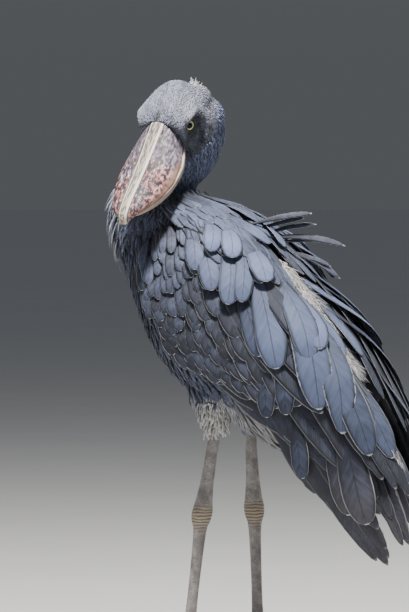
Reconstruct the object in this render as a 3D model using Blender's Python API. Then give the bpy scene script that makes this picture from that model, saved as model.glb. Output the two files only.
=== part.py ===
"""A shoebill at rest, life size, as a still museum figure.

The bird faces -Y with its left side at +X and stands on the floor at z = 0.
Its trunk is steep, its neck is drawn in, and its head is turned to its left with the bill hanging.
Everything is in metres.
"""

import math
import random

import bmesh
import bpy
from mathutils import Matrix, Vector

# Gap between parted nodes, and how far a node is grown before it cuts its neighbour.
GAP = 0.0003
CLEARANCE = 0.0005
# Thickness of a feather at its edges and along its shaft.
VANE_EDGE = 0.0007
VANE_SHAFT = 0.0019
# How far a feather's middle stands over its edges, as a share of its half width.
VANE_CAMBER = 0.10
# A feather's outline: share of the length and of the width.
VANE_SHAPE = ((0.0, 0.42), (0.32, 0.90), (0.68, 1.00), (0.91, 0.76), (1.0, 0.26))
SHORT_VANE_SHAPE = ((0.0, 0.50), (0.55, 1.00), (0.90, 0.74), (1.0, 0.26))

# The model is moved by this, so that the middle of its base is the origin.
STANCE_SHIFT = Vector((-0.017, -0.063, 0.0))

# Trunk: a line from the shoulders to the tail, steep as the bird stands.
TRUNK_PITCH = math.radians(55.0)
SHOULDER = Vector((0.0, -0.090, 0.730))
SIDEWAYS = Vector((1.0, 0.0, 0.0))
BACKWARD = Vector((0.0, math.cos(TRUNK_PITCH), -math.sin(TRUNK_PITCH)))
DORSAL = Vector((0.0, math.sin(TRUNK_PITCH), math.cos(TRUNK_PITCH)))
TRUNK_SIDES = 24

# Stations of the trunk: distance behind the shoulder, height of the middle, half width, half depth.
TRUNK = (
    (0.485, 0.022, 0.016, 0.012),
    (0.470, 0.020, 0.036, 0.028),
    (0.440, 0.018, 0.056, 0.046),
    (0.400, 0.010, 0.078, 0.067),
    (0.330, 0.000, 0.106, 0.095),
    (0.250, -0.012, 0.128, 0.118),
    (0.160, -0.020, 0.138, 0.130),
    (0.080, -0.014, 0.132, 0.133),
    (0.000, -0.017, 0.110, 0.114),
    (-0.050, -0.028, 0.088, 0.096),
)
# Stations of the neck: its middle, half width, half depth and forward lean in degrees.
NECK = (
    (-0.012, -0.169, 0.792, 0.074, 0.083, 24.0),
    (-0.023, -0.171, 0.826, 0.067, 0.078, 10.0),
    (-0.030, -0.147, 0.862, 0.063, 0.071, -6.0),
    (-0.032, -0.121, 0.898, 0.060, 0.067, -14.0),
    (-0.029, -0.107, 0.934, 0.059, 0.064, -10.0),
    (-0.020, -0.105, 0.968, 0.055, 0.057, -2.0),
    (-0.008, -0.104, 0.992, 0.040, 0.043, 0.0),
)

# The folded wings lie on a sheet over the back and flanks, with a hump each side of the spine.
# Keys: distance behind the shoulder, half width, half height, height of the middle, hump.
SHEET = (
    (-0.06, 0.090, 0.092, -0.028, 0.006),
    (0.00, 0.120, 0.118, -0.018, 0.014),
    (0.06, 0.144, 0.136, -0.016, 0.024),
    (0.12, 0.155, 0.146, -0.016, 0.032),
    (0.20, 0.158, 0.150, -0.012, 0.038),
    (0.30, 0.150, 0.146, 0.000, 0.042),
    (0.40, 0.132, 0.132, 0.014, 0.042),
    (0.50, 0.110, 0.116, 0.028, 0.038),
    (0.60, 0.086, 0.098, 0.036, 0.030),
    (0.70, 0.062, 0.078, 0.040, 0.020),
    (0.80, 0.044, 0.056, 0.040, 0.006),
)

# The core of a wing: distance behind the shoulder, and its lower and upper edges as turns.
WING_EDGES = (
    (0.010, 96.0, 44.0),
    (0.040, 106.0, 24.0),
    (0.100, 110.0, 13.0),
    (0.180, 109.0, 11.0),
    (0.260, 105.0, 14.0),
    (0.340, 102.0, 26.0),
    (0.400, 99.0, 50.0),
    (0.440, 97.0, 78.0),
)
WING_THICK = 0.009
# Tiers of wing feathers, from the flight feathers up to the scapulars. Roots and tips run from
# the lower edge of the wing to its upper edge, as distances behind the shoulder and turns.
# Lifts are heights over the sheet at root and tip.
WING_TIERS = (
    {
        "count": 5,
        "roots": ((0.33, 100.0), (0.36, 82.0)),
        "tips": ((0.565, 104.0), (0.695, 97.0), (0.665, 70.0)),
        "widths": ((0.032,), (0.036,)),
        "lifts": (-0.0070, -0.0050),
        "roll": 8.0,
    },
    {
        "count": 6,
        "roots": ((0.20, 105.0), (0.26, 70.0), (0.28, 38.0)),
        "tips": ((0.400, 111.0), (0.500, 94.0), (0.580, 64.0), (0.625, 43.0)),
        "widths": ((0.038,), (0.042,)),
        "lifts": (-0.0040, 0.0035),
        "roll": 8.0,
    },
    {
        "count": 6,
        "roots": ((0.13, 105.0), (0.17, 60.0), (0.16, 20.0)),
        "tips": ((0.315, 110.0), (0.400, 80.0), (0.480, 50.0), (0.530, 30.0), (0.400, 18.0)),
        "widths": ((0.042,), (0.050,), (0.044,)),
        "lifts": (-0.0025, 0.0120),
        "roll": 8.0,
    },
    {
        "count": 6,
        "roots": ((0.070, 103.0), (0.090, 60.0), (0.090, 22.0)),
        "tips": ((0.225, 110.0), (0.300, 68.0), (0.310, 22.0)),
        "widths": ((0.040,), (0.048,), (0.046,)),
        "lifts": (-0.0025, 0.0145),
        "roll": 8.0,
    },
    {
        "count": 5,
        "roots": ((0.035, 99.0), (0.040, 62.0)),
        "tips": ((0.140, 109.0), (0.180, 76.0)),
        "widths": ((0.036,), (0.040,)),
        "lifts": (-0.0025, 0.0150),
        "roll": 8.0,
    },
    {
        "count": 6,
        "roots": ((0.024, 66.0), (0.040, 44.0), (0.055, 26.0)),
        "tips": ((0.105, 76.0), (0.175, 62.0), (0.200, 42.0), (0.170, 18.0)),
        "widths": ((0.040,), (0.044,), (0.040,)),
        "lifts": (-0.0025, 0.0190),
        "roll": 8.0,
    },
)

# The tail: its root, and where its feathers end.
TAIL_ROOT = ((0.436, 0.024, 0.008), (0.480, 0.026, 0.0085), (0.515, 0.022, 0.004))
TAIL_HEIGHT = 0.018
TAIL_FEATHERS = 7
TAIL_END = 0.660

# Rows of body feathers: ring of the body at root and tip, first and last turn, count and width.
BREAST_ROWS = (
    (9.75, 8.80, 196.0, 344.0, 6, 0.038),
    (8.95, 7.95, 200.0, 340.0, 6, 0.042),
    (8.10, 7.10, 208.0, 332.0, 6, 0.044),
    (7.25, 6.25, 212.0, 328.0, 6, 0.042),
    (6.40, 5.45, 214.0, 326.0, 5, 0.042),
    (5.60, 4.70, 218.0, 322.0, 4, 0.042),
)
MANTLE_ROWS = (
    (9.10, 8.20, 44.0, 136.0, 4, 0.040),
    (8.50, 7.60, 70.0, 110.0, 2, 0.036),
)
NECK_ROWS = (
    (11.40, 10.15, 190.0, 350.0, 6, 0.032),
    (12.30, 11.00, 195.0, 345.0, 4, 0.034),
)

# Head: its middle, and its own directions, forward along the bill, left and up.
HEAD_CENTRE = Vector((0.032, -0.106, 0.9655))
BILL_WAY = Vector((0.718, -0.005, -0.697)).normalized()
HEAD_LEFT = Vector((-0.058, 0.995, -0.067))
HEAD_LEFT = (HEAD_LEFT - BILL_WAY * HEAD_LEFT.dot(BILL_WAY)).normalized()
HEAD_UP = BILL_WAY.cross(HEAD_LEFT)
HEAD_SIDES = 24
# Stations of the head: forward, half width, height above and below the middle.
HEAD = (
    (-0.064, 0.010, 0.010, 0.011),
    (-0.060, 0.024, 0.025, 0.026),
    (-0.047, 0.041, 0.041, 0.043),
    (-0.026, 0.052, 0.048, 0.054),
    (0.000, 0.0565, 0.050, 0.058),
    (0.020, 0.0565, 0.049, 0.060),
    (0.036, 0.0550, 0.047, 0.060),
    (0.048, 0.0510, 0.040, 0.058),
    (0.055, 0.0470, 0.035, 0.056),
)

# Swells and hollows on each side of the face: forward, up, how far out, spread forward and up.
FACE_SWELLS = (
    (0.019, -0.004, -0.0100, 0.017, 0.015),
    (0.020, 0.021, 0.0045, 0.021, 0.009),
    (-0.016, -0.022, 0.0030, 0.016, 0.018),
)

# Eye: its middle in the head, forward, left and up, and its radius.
EYE_PLACE = (0.019, 0.0400, -0.003)
EYE_RADIUS = 0.0128

# Lids: how far out of the eye's middle their rim stands, its radius and its thickness.
GAZE = (0.45, 0.87, 0.12)
LID_OUT = 0.0074
LID_RADIUS = 0.0114
LID_THICK = 0.0021

# Crest feathers at the back of the crown: tips as forward, left and up.
CREST_ROOT = (-0.046, 0.018, 0.010)
CREST_TIPS = (
    (-0.080, 0.022, 0.026),
    (-0.078, 0.034, 0.014),
    (-0.070, 0.046, 0.004),
    (-0.082, 0.008, 0.018),
)

# Bill. Stations of the upper half: distance from the face, half width, culmen, cutting edge.
FACE_FORWARD = 0.0554
UPPER_BILL = (
    (0.000, 0.0400, 0.0300, -0.0270),
    (0.020, 0.0470, 0.0258, -0.0290),
    (0.048, 0.0515, 0.0192, -0.0300),
    (0.095, 0.0520, 0.0108, -0.0285),
    (0.130, 0.0460, 0.0058, -0.0245),
    (0.160, 0.0365, 0.0018, -0.0190),
    (0.182, 0.0255, -0.0032, -0.0160),
    (0.195, 0.0160, -0.0085, -0.0190),
    (0.204, 0.0080, -0.0165, -0.0250),
)
# Stations of the lower half: distance from the face, half width, top and keel.
LOWER_BILL = (
    (0.000, 0.0375, -0.0275, -0.0560),
    (0.022, 0.0430, -0.0296, -0.0575),
    (0.050, 0.0470, -0.0305, -0.0570),
    (0.095, 0.0480, -0.0290, -0.0530),
    (0.130, 0.0415, -0.0250, -0.0460),
    (0.160, 0.0315, -0.0196, -0.0360),
    (0.180, 0.0195, -0.0172, -0.0270),
    (0.189, 0.0090, -0.0185, -0.0225),
)
RIDGE_HEIGHT = 0.0022
# Nostrils: slits beside the ridge, from the face forward, out from the ridge, and half sizes.
NOSTRIL = (0.016, 0.0150, 0.0060, 0.0011, 0.0040)

# Legs: sideways, fore and aft and height of each joint.
HIP = (0.062, 0.002, 0.500)
THIGH_END = (0.066, -0.001, 0.384)
LEFT_HOCK = (0.072, -0.024, 0.243)
RIGHT_HOCK = (0.068, 0.006, 0.243)
LEFT_ANKLE = (0.078, -0.048, 0.026)
RIGHT_ANKLE = (0.075, 0.010, 0.026)
LEG_SIDES = 12

# Toes: name, heading from straight ahead towards the outside, length, and radius at the root and tip.
TOES = (
    ("inner", -24.0, 0.125, 0.0085, 0.0056),
    ("middle", 1.0, 0.165, 0.0095, 0.0060),
    ("outer", 27.0, 0.135, 0.0085, 0.0056),
    ("hind", 172.0, 0.075, 0.0085, 0.0056),
)
TOE_SIDES = 6
CLAW_LENGTH = 0.022

# Tufts round the end of the thigh: turns about it.
THIGH_TUFTS = (10.0, 130.0, 250.0)

MATERIALS = {
    "plumage": ((0.23, 0.26, 0.33), 0.65, 0.0),
    "down": ((0.33, 0.36, 0.42), 0.80, 0.0),
    "bill_horn": ((0.52, 0.43, 0.37), 0.50, 0.0),
    "eye": ((0.72, 0.62, 0.22), 0.08, 0.0),
    "leg_scale": ((0.30, 0.28, 0.27), 0.60, 0.0),
    "claw_horn": ((0.10, 0.09, 0.09), 0.35, 0.0),
}


def clear_scene():
    """Removes whatever the scene holds."""
    for obj in list(bpy.data.objects):
        bpy.data.objects.remove(obj)


def material(name):
    """The named Principled material, made once."""
    found = bpy.data.materials.get(name)
    if found:
        return found
    colour, roughness, metallic = MATERIALS[name]
    made = bpy.data.materials.new(name)
    made.use_nodes = True
    shader = made.node_tree.nodes["Principled BSDF"]
    shader.inputs["Base Color"].default_value = (*colour, 1.0)
    shader.inputs["Roughness"].default_value = roughness
    shader.inputs["Metallic"].default_value = metallic
    return made


def smooth(keys, column, at):
    """The value of one column of keys at a place, on a curve through the keys."""
    keys = sorted(keys)
    places = [key[0] for key in keys]
    values = [key[column] for key in keys]
    if at <= places[0]:
        return values[0]
    if at >= places[-1]:
        return values[-1]
    i = next(n for n in range(len(places) - 1) if at <= places[n + 1])
    slopes = []
    for n in (i, i + 1):
        low, high = max(n - 1, 0), min(n + 1, len(places) - 1)
        slopes.append((values[high] - values[low]) / (places[high] - places[low]))
    span = places[i + 1] - places[i]
    t = (at - places[i]) / span
    return (
        values[i] * (1 + 2 * t) * (1 - t) ** 2
        + slopes[0] * span * t * (1 - t) ** 2
        + values[i + 1] * t * t * (3 - 2 * t)
        - slopes[1] * span * t * t * (1 - t)
    )


def trunk_point(behind, height):
    """A point of the middle plane, by its distance behind the shoulder and above the trunk's line."""
    return SHOULDER + BACKWARD * behind + DORSAL * height


def head_point(forward, left, up):
    """A point given in the head's own directions."""
    return HEAD_CENTRE + BILL_WAY * forward + HEAD_LEFT * left + HEAD_UP * up


def new_node(name, bm, finish, flat=False):
    """A named object from a bmesh, with its outward faces, material and shading set."""
    bmesh.ops.recalc_face_normals(bm, faces=bm.faces)
    mesh = bpy.data.meshes.new(name)
    bm.to_mesh(mesh)
    bm.free()
    mesh.materials.append(material(finish))
    if not flat:
        mesh.shade_smooth()
    obj = bpy.data.objects.new(name, mesh)
    bpy.context.scene.collection.objects.link(obj)
    return obj


def add_loft(bm, rings):
    """Skins rings of points of one count, with a fan over each end."""
    rows = [[bm.verts.new(point) for point in ring] for ring in rings]
    for row, following in zip(rows, rows[1:]):
        for n in range(len(row)):
            m = (n + 1) % len(row)
            bm.faces.new((row[n], row[m], following[m], following[n]))
    for row in (rows[0], rows[-1]):
        middle = bm.verts.new(sum((v.co for v in row), Vector()) / len(row))
        for n in range(len(row)):
            bm.faces.new((row[n], row[(n + 1) % len(row)], middle))


def loft(name, rings, finish):
    """A closed node skinned over rings."""
    bm = bmesh.new()
    add_loft(bm, rings)
    return new_node(name, bm, finish)


def ellipse(centre, across, along, sides, start=0.0):
    """Points on an ellipse with the two half axes as vectors."""
    turns = [start + 2 * math.pi * n / sides for n in range(sides)]
    return [centre + across * math.cos(a) + along * math.sin(a) for a in turns]


def tube(name, path, radii, sides, finish):
    """A round limb through a path of points, level at both ends, with a half width and half depth at each."""
    rings = [
        ellipse(Vector(point), Vector((wide, 0, 0)), Vector((0, deep, 0)), sides)
        for point, (wide, deep) in zip(path, radii)
    ]
    return loft(name, rings, finish)


def apply_modifiers(obj):
    """Bakes an object's modifiers into its mesh."""
    graph = bpy.context.evaluated_depsgraph_get()
    obj.data = bpy.data.meshes.new_from_object(obj.evaluated_get(graph))
    obj.modifiers.clear()


def keep_largest(obj):
    """Drops all but the largest closed surface of a mesh."""
    bm = bmesh.new()
    bm.from_mesh(obj.data)
    bmesh.ops.triangulate(bm, faces=bm.faces)
    left = set(bm.verts)
    shells = []
    while left:
        shell, edge = set(), [next(iter(left))]
        while edge:
            vert = edge.pop()
            if vert in shell:
                continue
            shell.add(vert)
            edge.extend(e.other_vert(vert) for e in vert.link_edges)
        left -= shell
        faces = {f for v in shell for f in v.link_faces}
        volume = sum(f.verts[0].co.dot(f.verts[1].co.cross(f.verts[2].co)) for f in faces)
        shells.append((volume, shell))
    kept = max(shells, key=lambda pair: pair[0])[1]
    bmesh.ops.delete(bm, geom=[v for v in bm.verts if v not in kept], context="VERTS")
    bm.to_mesh(obj.data)
    bm.free()


def join(obj, pieces, solver="MANIFOLD"):
    """Fuses closed pieces into a node by one union, and removes them."""
    helpers = bpy.data.collections.new(obj.name + "_pieces")
    bpy.context.scene.collection.children.link(helpers)
    for piece in pieces:
        bpy.context.scene.collection.objects.unlink(piece)
        helpers.objects.link(piece)
    union = obj.modifiers.new("join", "BOOLEAN")
    union.operation = "UNION"
    union.operand_type = "COLLECTION"
    union.collection = helpers
    union.solver = solver
    apply_modifiers(obj)
    for piece in pieces:
        bpy.data.objects.remove(piece)
    bpy.data.collections.remove(helpers)
    keep_largest(obj)


def cut(obj, *cutters, solver="MANIFOLD"):
    """Takes the cutters' space from a node."""
    for cutter in cutters:
        difference = obj.modifiers.new("cut", "BOOLEAN")
        difference.operation = "DIFFERENCE"
        difference.object = cutter
        difference.solver = solver
        apply_modifiers(obj)
    keep_largest(obj)


def cutter_of(obj, grow=CLEARANCE):
    """A hidden copy of a node, grown outwards a little, to cut its neighbours clear of it."""
    copy = obj.copy()
    copy.data = obj.data.copy()
    copy.name = obj.name + "_clearance"
    bpy.context.scene.collection.objects.link(copy)
    moved = [v.co + v.normal * grow for v in copy.data.vertices]
    for vert, place in zip(copy.data.vertices, moved):
        vert.co = place
    copy.hide_render = True
    copy.display_type = "WIRE"
    return copy


def along_row(keys, share):
    """The values at a share of the way along evenly spaced keys."""
    at = share * (len(keys) - 1)
    n = min(int(at), len(keys) - 2)
    return [a + (b - a) * (at - n) for a, b in zip(keys[n], keys[n + 1])]


def build_vane(place, lifts, width, roll, grow=0.0, shape=VANE_SHAPE):
    """A feather: a cambered blade along a path, thin at its edges.

    Place gives a point from a share of the length and a height over the surface, roll is the
    blade's turn in degrees about its shaft, grow is added all round it, and shape is its outline.
    """
    rings = []
    for share, swell in shape:
        lift = lifts[0] + (lifts[1] - lifts[0]) * share
        centre = place(share, lift)
        along = (place(min(share + 0.02, 1.0), lift) - place(max(share - 0.02, 0.0), lift)).normalized()
        up = place(share, lift + 0.01) - centre
        across = along.cross(up).normalized()
        up = across.cross(along).normalized()
        turn = math.radians(roll)
        side = across * math.cos(turn) + up * math.sin(turn)
        out = up * math.cos(turn) - across * math.sin(turn)
        rise = out * (width * swell / 2 * VANE_CAMBER)
        half = width * swell / 2 + grow
        if share == 1.0:
            centre = centre + along * grow
        left, right = centre - side * half, centre + side * half
        edge, shaft = out * (VANE_EDGE / 2 + grow), out * (VANE_SHAFT / 2 + grow)
        rings.append(
            (left + edge, centre + rise + shaft, right + edge,
             right - edge, centre + rise - shaft, left - edge)
        )
    bm = bmesh.new()
    rows = [[bm.verts.new(point) for point in ring] for ring in rings]
    for a, b in zip(rows, rows[1:]):
        for n, m in ((0, 1), (1, 2)):
            bm.faces.new((a[n], a[m], b[m]))
            bm.faces.new((a[n], b[m], b[n]))
            n, m = 5 - n, 5 - m
            bm.faces.new((a[n], b[m], a[m]))
            bm.faces.new((a[n], b[n], b[m]))
        for n, m in ((2, 3), (5, 0)):
            bm.faces.new((a[n], a[m], b[m]))
            bm.faces.new((a[n], b[m], b[n]))
    for row in (rows[0], rows[-1]):
        bm.faces.new((row[0], row[1], row[4]))
        bm.faces.new((row[0], row[4], row[5]))
        bm.faces.new((row[1], row[2], row[3]))
        bm.faces.new((row[1], row[3], row[4]))
    return new_node("vane", bm, "plumage")


def body_rings():
    """Rings of the trunk from tail to shoulder, then of the neck up to the head."""
    lean = 90.0 - math.degrees(TRUNK_PITCH)
    stations = [(trunk_point(a, c), w, h, lean) for a, c, w, h in TRUNK]
    stations += [(Vector(place), w, h, tilt) for *place, w, h, tilt in NECK]
    rings = []
    for centre, wide, deep, tilt in stations:
        tilt = math.radians(tilt)
        depth = Vector((0.0, math.cos(tilt), math.sin(tilt)))
        rings.append(ellipse(centre, SIDEWAYS * wide, depth * deep, TRUNK_SIDES))
    return rings


def skin_point(rings, at, turn, lift):
    """A point over the trunk or neck, by ring number, turn about it and height over the skin."""
    count = len(rings[0])
    low = min(max(int(at), 0), len(rings) - 2)
    around = (turn % 360.0) / 360.0 * count
    spot = int(around) % count

    def on_ring(ring):
        """The point of one ring at this turn."""
        return ring[spot].lerp(ring[(spot + 1) % count], around - int(around))

    first, second = on_ring(rings[low]), on_ring(rings[low + 1])
    base = first.lerp(second, at - low)
    round_way = rings[low][(spot + 1) % count] - rings[low][spot]
    out = round_way.cross(second - first).normalized()
    return base + out * lift


def feather_rows(obj, rings, rows, lifts, seed, grow=0.0):
    """Fuses rows of body feathers into a node of the trunk or neck, each grown all round."""
    chance = random.Random(seed)
    vanes = []
    for number, (start, end, first, last, count, width) in enumerate(rows):
        for n in range(count):
            turn = first + (last - first) * (n + 0.5 * (number % 2) * (n < count - 1)) / (count - 1)
            turn += chance.uniform(-2.0, 2.0)
            reach = end + chance.uniform(-0.08, 0.08)

            def place(t, lift):
                """A point along this feather, over the body."""
                return skin_point(rings, start + (reach - start) * t, turn, lift)

            vanes.append(build_vane(place, lifts, width, 5.0, grow, SHORT_VANE_SHAPE))
    join(obj, vanes)


def build_trunk_and_neck():
    """The torso up to the root of the neck, and the neck on it, parted by a thin cut."""
    rings = body_rings()
    parting = len(TRUNK)
    torso = loft("torso", rings[: parting + 1], "plumage")
    root = rings[parting]
    way = (sum(rings[parting + 1], Vector()) - sum(root, Vector())).normalized()
    foot = [point + way * GAP for point in root]
    neck = loft("neck", [foot] + rings[parting + 1 :], "plumage")
    torso_space = cutter_of(torso)
    for body, grow in ((torso, 0.0), (torso_space, CLEARANCE)):
        feather_rows(body, rings, BREAST_ROWS + MANTLE_ROWS, (-0.0025, 0.0100), 5, grow)
    feather_rows(neck, rings, NECK_ROWS, (-0.0025, 0.0085), 7)
    return torso, neck, torso_space


def build_head():
    """The skull with its brows and lids, open for the eyes."""
    ends = [key[0] for key in HEAD]
    places = sorted(ends + [(a + b) / 2 for a, b in zip(ends[1:], ends[2:])])
    rings = []
    for forward in places:
        half_width, above, below = (smooth(HEAD, column, forward) for column in (1, 2, 3))
        ring = []
        for n in range(HEAD_SIDES):
            turn = 2 * math.pi * n / HEAD_SIDES
            left = half_width * math.cos(turn)
            up = (above if math.sin(turn) > 0 else below) * math.sin(turn)
            for at, high, swell, long, tall in FACE_SWELLS:
                near = math.exp(-(((forward - at) / long) ** 2) - ((up - high) / tall) ** 2)
                left += swell * near * max(-1.0, min(1.0, left / 0.02))
            ring.append(head_point(forward, left, up))
        rings.append(ring)
    head = loft("head", rings, "plumage")
    space = cutter_of(head)
    pieces = [build_lid(1), build_lid(-1)]
    root = head_point(*CREST_ROOT)
    for tip in CREST_TIPS:
        end = head_point(*tip)
        out = (root - HEAD_CENTRE).normalized()

        def place(t, lift):
            """A point along this crest feather, which bows a little away from the crown."""
            return root.lerp(end, t) + out * (lift + 0.003 * math.sin(math.pi * t))

        pieces.append(build_vane(place, (0.0, 0.0), 0.0085, 0.0, 0.0, SHORT_VANE_SHAPE))
    join(head, pieces)
    return head, space


def build_lid(side):
    """The rim of skin around an eye."""
    forward, left, up = EYE_PLACE
    ahead, aside, above = GAZE
    gaze = (BILL_WAY * ahead + HEAD_LEFT * (side * aside) + HEAD_UP * above).normalized()
    centre = head_point(forward, side * left, up) + gaze * LID_OUT
    across = gaze.orthogonal().normalized()
    along = gaze.cross(across)
    bm = bmesh.new()
    rows = []
    for n in range(12):
        turn = 2 * math.pi * n / 12
        away = across * math.cos(turn) + along * math.sin(turn)
        ring = ellipse(centre + away * LID_RADIUS, away * LID_THICK, gaze * LID_THICK, 5)
        rows.append([bm.verts.new(point) for point in ring])
    for row, following in zip(rows, rows[1:] + rows[:1]):
        for n in range(5):
            m = (n + 1) % 5
            bm.faces.new((row[n], row[m], following[m], following[n]))
    return new_node("lid", bm, "plumage")


def build_eye(name, side):
    """An eyeball set in the side of the head."""
    forward, left, up = EYE_PLACE
    bm = bmesh.new()
    place = Matrix.Translation(head_point(forward, side * left, up))
    bmesh.ops.create_icosphere(bm, subdivisions=2, radius=EYE_RADIUS, matrix=place)
    return new_node(name, bm, "eye")


def upper_bill_ring(out, half_width, culmen, edge):
    """Half ring over the upper bill with the raised ridge, closed along the mouth."""
    ring = []
    steps = 12
    for n in range(steps + 1):
        turn = math.pi * n / steps
        side = math.copysign(abs(math.cos(turn)) ** 0.9, math.cos(turn))
        rise = math.sin(turn) ** 0.8
        ridge = RIDGE_HEIGHT if abs(n - steps / 2) <= 1 else 0.0
        height = edge + (culmen - edge) * rise + ridge
        ring.append(head_point(FACE_FORWARD + out, half_width * side, height))
    return ring


def lower_bill_ring(out, half_width, top, keel):
    """Ring of the lower bill, flat along the mouth and rounded below."""
    ring = []
    steps = 10
    for n in range(steps + 1):
        turn = math.pi * n / steps
        side = math.copysign(abs(math.cos(turn)) ** 0.5, math.cos(turn))
        height = top + (keel - top) * math.sin(turn)
        ring.append(head_point(FACE_FORWARD + out, half_width * side, height))
    return ring


def build_bill():
    """The two halves of the bill, parted along the mouth."""
    upper = loft("upper_bill", [upper_bill_ring(*s) for s in UPPER_BILL], "bill_horn")
    lower = loft("lower_bill", [lower_bill_ring(*s) for s in LOWER_BILL], "bill_horn")
    spaces = [cutter_of(upper), cutter_of(lower)]
    out, aside, long, wide, deep = NOSTRIL
    height = smooth(UPPER_BILL, 2, out)
    slits = []
    for side in (1, -1):
        rings = []
        for share in (-1.0, -0.5, 0.5, 1.0):
            size = 1.0 - 0.7 * share**2
            middle = head_point(FACE_FORWARD + out + long * share, side * aside, height - 0.0035)
            ring = ellipse(middle, HEAD_LEFT * (wide * size), HEAD_UP * (deep * size), 6)
            rings.append(ring)
        slit = loft("nostril", rings, "bill_horn")
        slit.hide_render = True
        slit.display_type = "WIRE"
        slits.append(slit)
    cut(upper, *slits)
    return upper, lower, spaces


def sheet_point(behind, turn, side, lift=0.0):
    """A point over the wing sheet. Turn is in degrees from the back's ridge down the flank."""
    wide, high, middle, hump = (smooth(SHEET, column, behind) for column in (1, 2, 3, 4))
    sine, cosine = math.sin(math.radians(turn)), math.cos(math.radians(turn))
    across = wide * math.copysign(abs(sine) ** 0.85, sine)
    over = high * math.copysign(abs(cosine) ** 0.85, cosine)
    if cosine > 0:
        over += hump * (2 * sine * cosine) ** 2
    out = (SIDEWAYS * (side * sine / wide) + DORSAL * (cosine / high)).normalized()
    return trunk_point(behind, middle + over) + SIDEWAYS * (side * across) + out * lift


def build_wing(name, side, spread):
    """A folded wing: a thin core along the arm, with tiers of feathers fused into it."""
    rows = 9
    rings = []
    for behind, low, high in WING_EDGES:
        turns = [low + (high - low) * n / (rows - 1) for n in range(rows)]
        over = [sheet_point(behind, t, side) for t in turns]
        under = [sheet_point(behind, t, side, -WING_THICK) for t in reversed(turns)]
        rings.append(over + under)
    wing = loft(name, rings, "plumage")
    chance = random.Random(11)
    vanes = []
    for tier in WING_TIERS:
        for n in range(tier["count"]):
            share = n / (tier["count"] - 1)
            behind, turn = along_row(tier["roots"], share)
            end_behind, end_turn = along_row(tier["tips"], share)
            end_behind = (end_behind + chance.uniform(-0.006, 0.006)) * spread
            width = along_row(tier["widths"], share)[0] * chance.uniform(0.94, 1.06)
            low, high = tier["lifts"]

            def place(t, lift):
                """A point along this feather, on the wing sheet."""
                at = behind + (end_behind - behind) * t
                return sheet_point(at, turn + (end_turn - turn) * t, side, lift)

            vanes.append(build_vane(place, (low, high), width, side * tier["roll"]))
    join(wing, vanes)
    return wing


def build_tail():
    """The folded tail: a short root with feathers fanned out from it."""
    rings = []
    for behind, wide, deep in TAIL_ROOT:
        centre = trunk_point(behind, TAIL_HEIGHT)
        rings.append(ellipse(centre, SIDEWAYS * wide, DORSAL * deep, 8))
    tail = loft("tail", rings, "plumage")
    vanes = []
    for n in range(TAIL_FEATHERS):
        place_in_fan = 2.0 * n / (TAIL_FEATHERS - 1) - 1.0
        start, end = 0.016 * place_in_fan, 0.046 * place_in_fan
        reach = TAIL_END - 0.018 * place_in_fan**2
        height = TAIL_HEIGHT - 0.0045 * abs(place_in_fan) * (TAIL_FEATHERS - 1) / 2

        def place(t, lift):
            """A point along this tail feather."""
            behind = TAIL_ROOT[0][0] + (reach - TAIL_ROOT[0][0]) * t
            lowered = TAIL_HEIGHT + (height - TAIL_HEIGHT) * min(1.0, 2.5 * t)
            across = start + (end - start) * t
            return trunk_point(behind, lowered + lift) + SIDEWAYS * across

        vanes.append(build_vane(place, (0.0, 0.0), 0.030, 0.0))
    join(tail, vanes)
    return tail


def build_thigh(name, side):
    """The feathered upper leg, down to where the skin is bare."""
    hip, end = Vector(HIP), Vector(THIGH_END)
    path, radii = [], []
    for share, wide, deep in (
        (0.00, 0.046, 0.060),
        (0.35, 0.040, 0.050),
        (0.62, 0.030, 0.036),
        (0.85, 0.020, 0.023),
        (1.00, 0.0125, 0.014),
    ):
        point = hip.lerp(end, share)
        path.append((side * point.x, point.y, point.z))
        radii.append((wide, deep))
    thigh = tube(name, path, radii, LEG_SIDES, "down")
    tufts = []
    for degrees in THIGH_TUFTS:
        turn = math.radians(degrees)
        round_way = Vector((math.cos(turn), math.sin(turn), 0.0))

        def place(t, lift):
            """A point along this tuft, down the thigh and a little off it."""
            point = hip.lerp(end, 0.60 + 0.36 * t)
            reach = 0.029 - 0.006 * t + lift
            return Vector((side * point.x, point.y, point.z)) + round_way * reach

        tufts.append(build_vane(place, (-0.0045, 0.0), 0.022, 0.0, 0.0, SHORT_VANE_SHAPE))
    join(thigh, tufts)
    return thigh


def limb(name, side, upper, lower, keys, drop=0.0):
    """A bare length of leg between two joints, from keys of share, half width and half depth."""
    upper, lower = Vector(upper), Vector(lower)
    path, radii = [], []
    for share, wide, deep in keys:
        point = upper.lerp(lower, share)
        path.append((side * point.x, point.y, point.z - (drop if share == 0 else 0)))
        radii.append((wide, deep))
    return tube(name, path, radii, LEG_SIDES, "leg_scale")


SHANK = (
    (0.00, 0.0098, 0.0105),
    (0.30, 0.0102, 0.0112),
    (0.62, 0.0118, 0.0130),
    (0.82, 0.0142, 0.0165),
    (0.92, 0.0165, 0.0190),
    (1.00, 0.0168, 0.0188),
)
TARSUS = (
    (0.000, 0.0166, 0.0184),
    (0.035, 0.0158, 0.0170),
    (0.090, 0.0125, 0.0128),
    (0.250, 0.0105, 0.0108),
    (0.600, 0.0092, 0.0098),
    (0.850, 0.0100, 0.0108),
    (1.000, 0.0128, 0.0136),
)


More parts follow.
